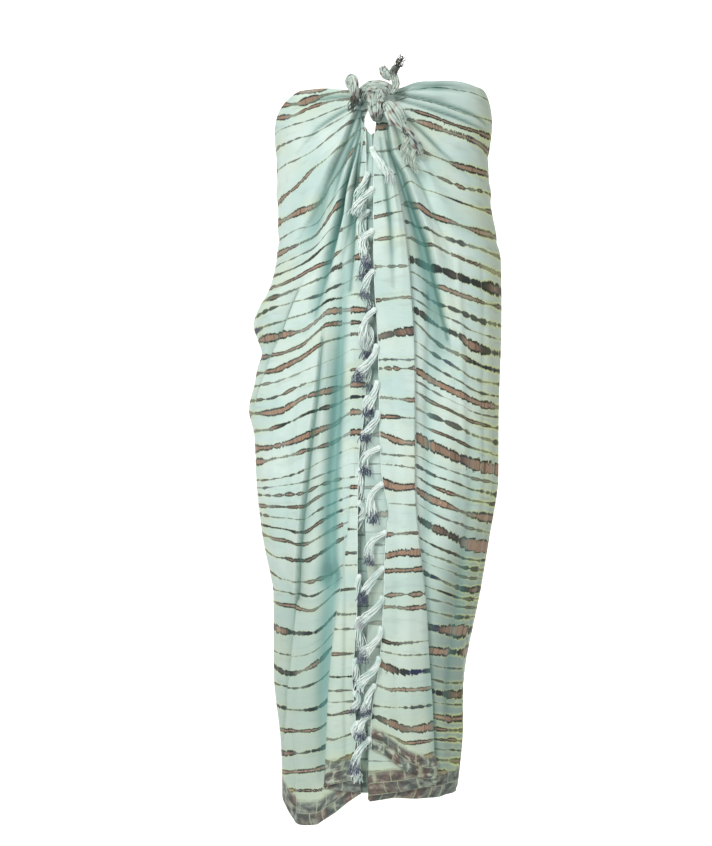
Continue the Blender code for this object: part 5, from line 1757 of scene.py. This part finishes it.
def knot_finish():
    """The same rayon, gathered tight, with brown and navy dye in its pleats and painted shade in their
    valleys.
    """
    look = Finish("gathered_rayon_finish")
    around = look.value("around")
    along = look.value("along")
    crease = look.value("crease")
    streak = look.noise(look.place(around * 14.0, along * 2.2), detail=2.0)
    patch = look.noise(look.place(around * 5.0, along * 4.0, 5.0))
    fleck = look.noise(look.place(around * 30.0, along * 14.0, 8.0), detail=2.0)
    colour = look.blend(KNOT_PALE, KNOT_GREY, streak.between(0.4, 0.65))
    colour = look.blend(colour, BROWN, patch.between(0.54, 0.64) * 0.75)
    colour = look.blend(colour, SLATE, patch.between(0.44, 0.36) * fleck.between(0.42, 0.6) * 0.8)
    colour = look.blend(colour, NAVY, (streak * patch).between(0.29, 0.36) * 0.8)
    # painted shade in the valleys of the pleats
    colour = look.blend(colour, KNOT_CREASE_SHADE, crease.between(0.35, 0.9) * 0.85)
    end = look.value("dark") * (fleck.between(0.35, 0.6) * 0.5 + 0.5)
    colour = look.blend(colour, DARK_END, end * 0.9)
    return look.finish(colour, streak * 0.1 + 0.68, streak + fleck * 0.5, bump=0.5, distance=0.8 * MM,
                       Sheen_Weight=0.25, Specular_IOR_Level=0.3)


def frayed_finish():
    """Torn threads, from pale rayon to dark dyed ends."""
    look = Finish("frayed_threads")
    texture = look.add("ShaderNodeTexCoord").outputs["Object"]
    speck = look.noise(texture, scale=300.0, detail=2.0)
    tone = look.noise(texture, scale=90.0)
    colour = look.blend(THREAD_PALE, THREAD_GREY, tone.between(0.4, 0.65))
    dark = look.blend(DARK_END, DEEP_BROWN, tone.between(0.5, 0.7) * 0.8)
    amount = (look.value("dye") + (speck - 0.5) * 0.8).between(0.35, 0.65)
    colour = look.blend(colour, dark, amount)
    return look.finish(colour, speck * 0.1 + 0.75, speck, bump=0.4, distance=0.4 * MM,
                       Sheen_Weight=0.2, Specular_IOR_Level=0.25)


# Floor, light and camera

CAMERA_PLACE = (-0.033, -2.7, -0.4845)
PHOTO_HEIGHT = 846       # pixels
PIXEL = 0.0015           # metres that one pixel shows at the body's axis
SENSOR = 36.0
FLOOR_HEIGHT = -1.36
FLOOR_HALF = 8.0
SWEEP_FROM = 3.6         # behind the garment, where the floor starts to curve up
SWEEP_RADIUS = 1.4
SWEEP_STEPS = 12
WALL_TOP = 6.0
LIGHTS = (
    # name, place, target, size, power
    ("key_light", (-1.15, -2.6, 1.0), (0, 0, -0.4), (0.9, 1.3), 54),
    ("fill_light", (2.2, -2.2, 0.1), (0, 0, -0.5), (1.6, 2.2), 7),
    ("top_light", (0, -0.6, 2.2), (0, 0, -0.5), (2.0, 1.2), 12),
    ("wall_light", (0, 1.6, 2.2), (0, 4.6, -0.8), (5.0, 1.4), 230),
)
SURROUND_STRENGTH = 0.36


def make_floor():
    """A pale floor that sweeps up behind the garment."""
    profile = [(-FLOOR_HALF, FLOOR_HEIGHT), (SWEEP_FROM, FLOOR_HEIGHT)]
    for step in range(1, SWEEP_STEPS + 1):
        turn = step / SWEEP_STEPS * math.pi / 2
        profile.append((SWEEP_FROM + SWEEP_RADIUS * math.sin(turn),
                        FLOOR_HEIGHT + SWEEP_RADIUS * (1 - math.cos(turn))))
    profile.append((SWEEP_FROM + SWEEP_RADIUS, WALL_TOP))
    points = [(side * FLOOR_HALF, y, z) for y, z in profile for side in (-1, 1)]
    faces = [(2 * i, 2 * i + 1, 2 * i + 3, 2 * i + 2) for i in range(len(profile) - 1)]
    mesh = bpy.data.meshes.new("floor")
    mesh.from_pydata(points, [], faces)
    mesh.shade_smooth()
    material = bpy.data.materials.new("pale_floor")
    material.use_nodes = True
    shader = material.node_tree.nodes["Principled BSDF"]
    shader.inputs["Base Color"].default_value = FLOOR_WHITE
    shader.inputs["Roughness"].default_value = 0.9
    mesh.materials.append(material)
    floor = bpy.data.objects.new("floor", mesh)
    bpy.context.scene.collection.objects.link(floor)


def add_light(name, place, target, size, power):
    """A soft rectangular light aimed at a point."""
    data = bpy.data.lights.new(name, "AREA")
    data.shape = "RECTANGLE"
    data.size, data.size_y = size
    data.energy = power
    light = bpy.data.objects.new(name, data)
    light.location = place
    aim = np.array(target) - np.array(place)
    tilt = math.acos(-aim[2] / np.linalg.norm(aim))
    light.rotation_euler = (tilt, 0, math.atan2(aim[1], aim[0]) - math.pi / 2)
    bpy.context.scene.collection.objects.link(light)


def make_studio():
    """Soft light from the front left, weaker light beside and above it, and a pale surround."""
    for light in LIGHTS:
        add_light(*light)
    world = bpy.data.worlds.new("surround")
    world.use_nodes = True
    world.node_tree.nodes["Background"].inputs["Color"].default_value = (1, 1, 1, 1)
    world.node_tree.nodes["Background"].inputs["Strength"].default_value = SURROUND_STRENGTH
    bpy.context.scene.world = world
    bpy.context.scene.view_settings.view_transform = "Standard"


def make_camera():
    """A camera in front of the garment, level with its middle."""
    data = bpy.data.cameras.new("camera")
    data.sensor_fit = "VERTICAL"
    data.sensor_height = SENSOR
    data.lens = SENSOR * -CAMERA_PLACE[1] / (PHOTO_HEIGHT * PIXEL)
    camera = bpy.data.objects.new("camera", data)
    camera.location = CAMERA_PLACE
    camera.rotation_euler = (math.pi / 2, 0, 0)
    bpy.context.scene.collection.objects.link(camera)
    bpy.context.scene.camera = camera


def main():
    cloth = cloth_finish()
    yarn = yarn_finish()
    gathered = knot_finish()
    tree = yarn_tree()
    left, left_grid, left_normals = make_cloth("left", cloth)
    right, right_grid, right_normals = make_cloth("right", cloth)
    left_yarns = make_fringe("left", left_grid, left_normals, LEFT_TASSELS, tree, yarn)
    right_yarns = make_fringe("right", right_grid, right_normals, RIGHT_TASSELS, tree, yarn)
    make_knot(gathered)
    for tail in TAILS:
        make_tail(*tail, gathered)
    make_frays(tree, frayed_finish())
    inner = make_inner_fold(cloth)
    make_floor()
    make_studio()
    make_camera()


main()
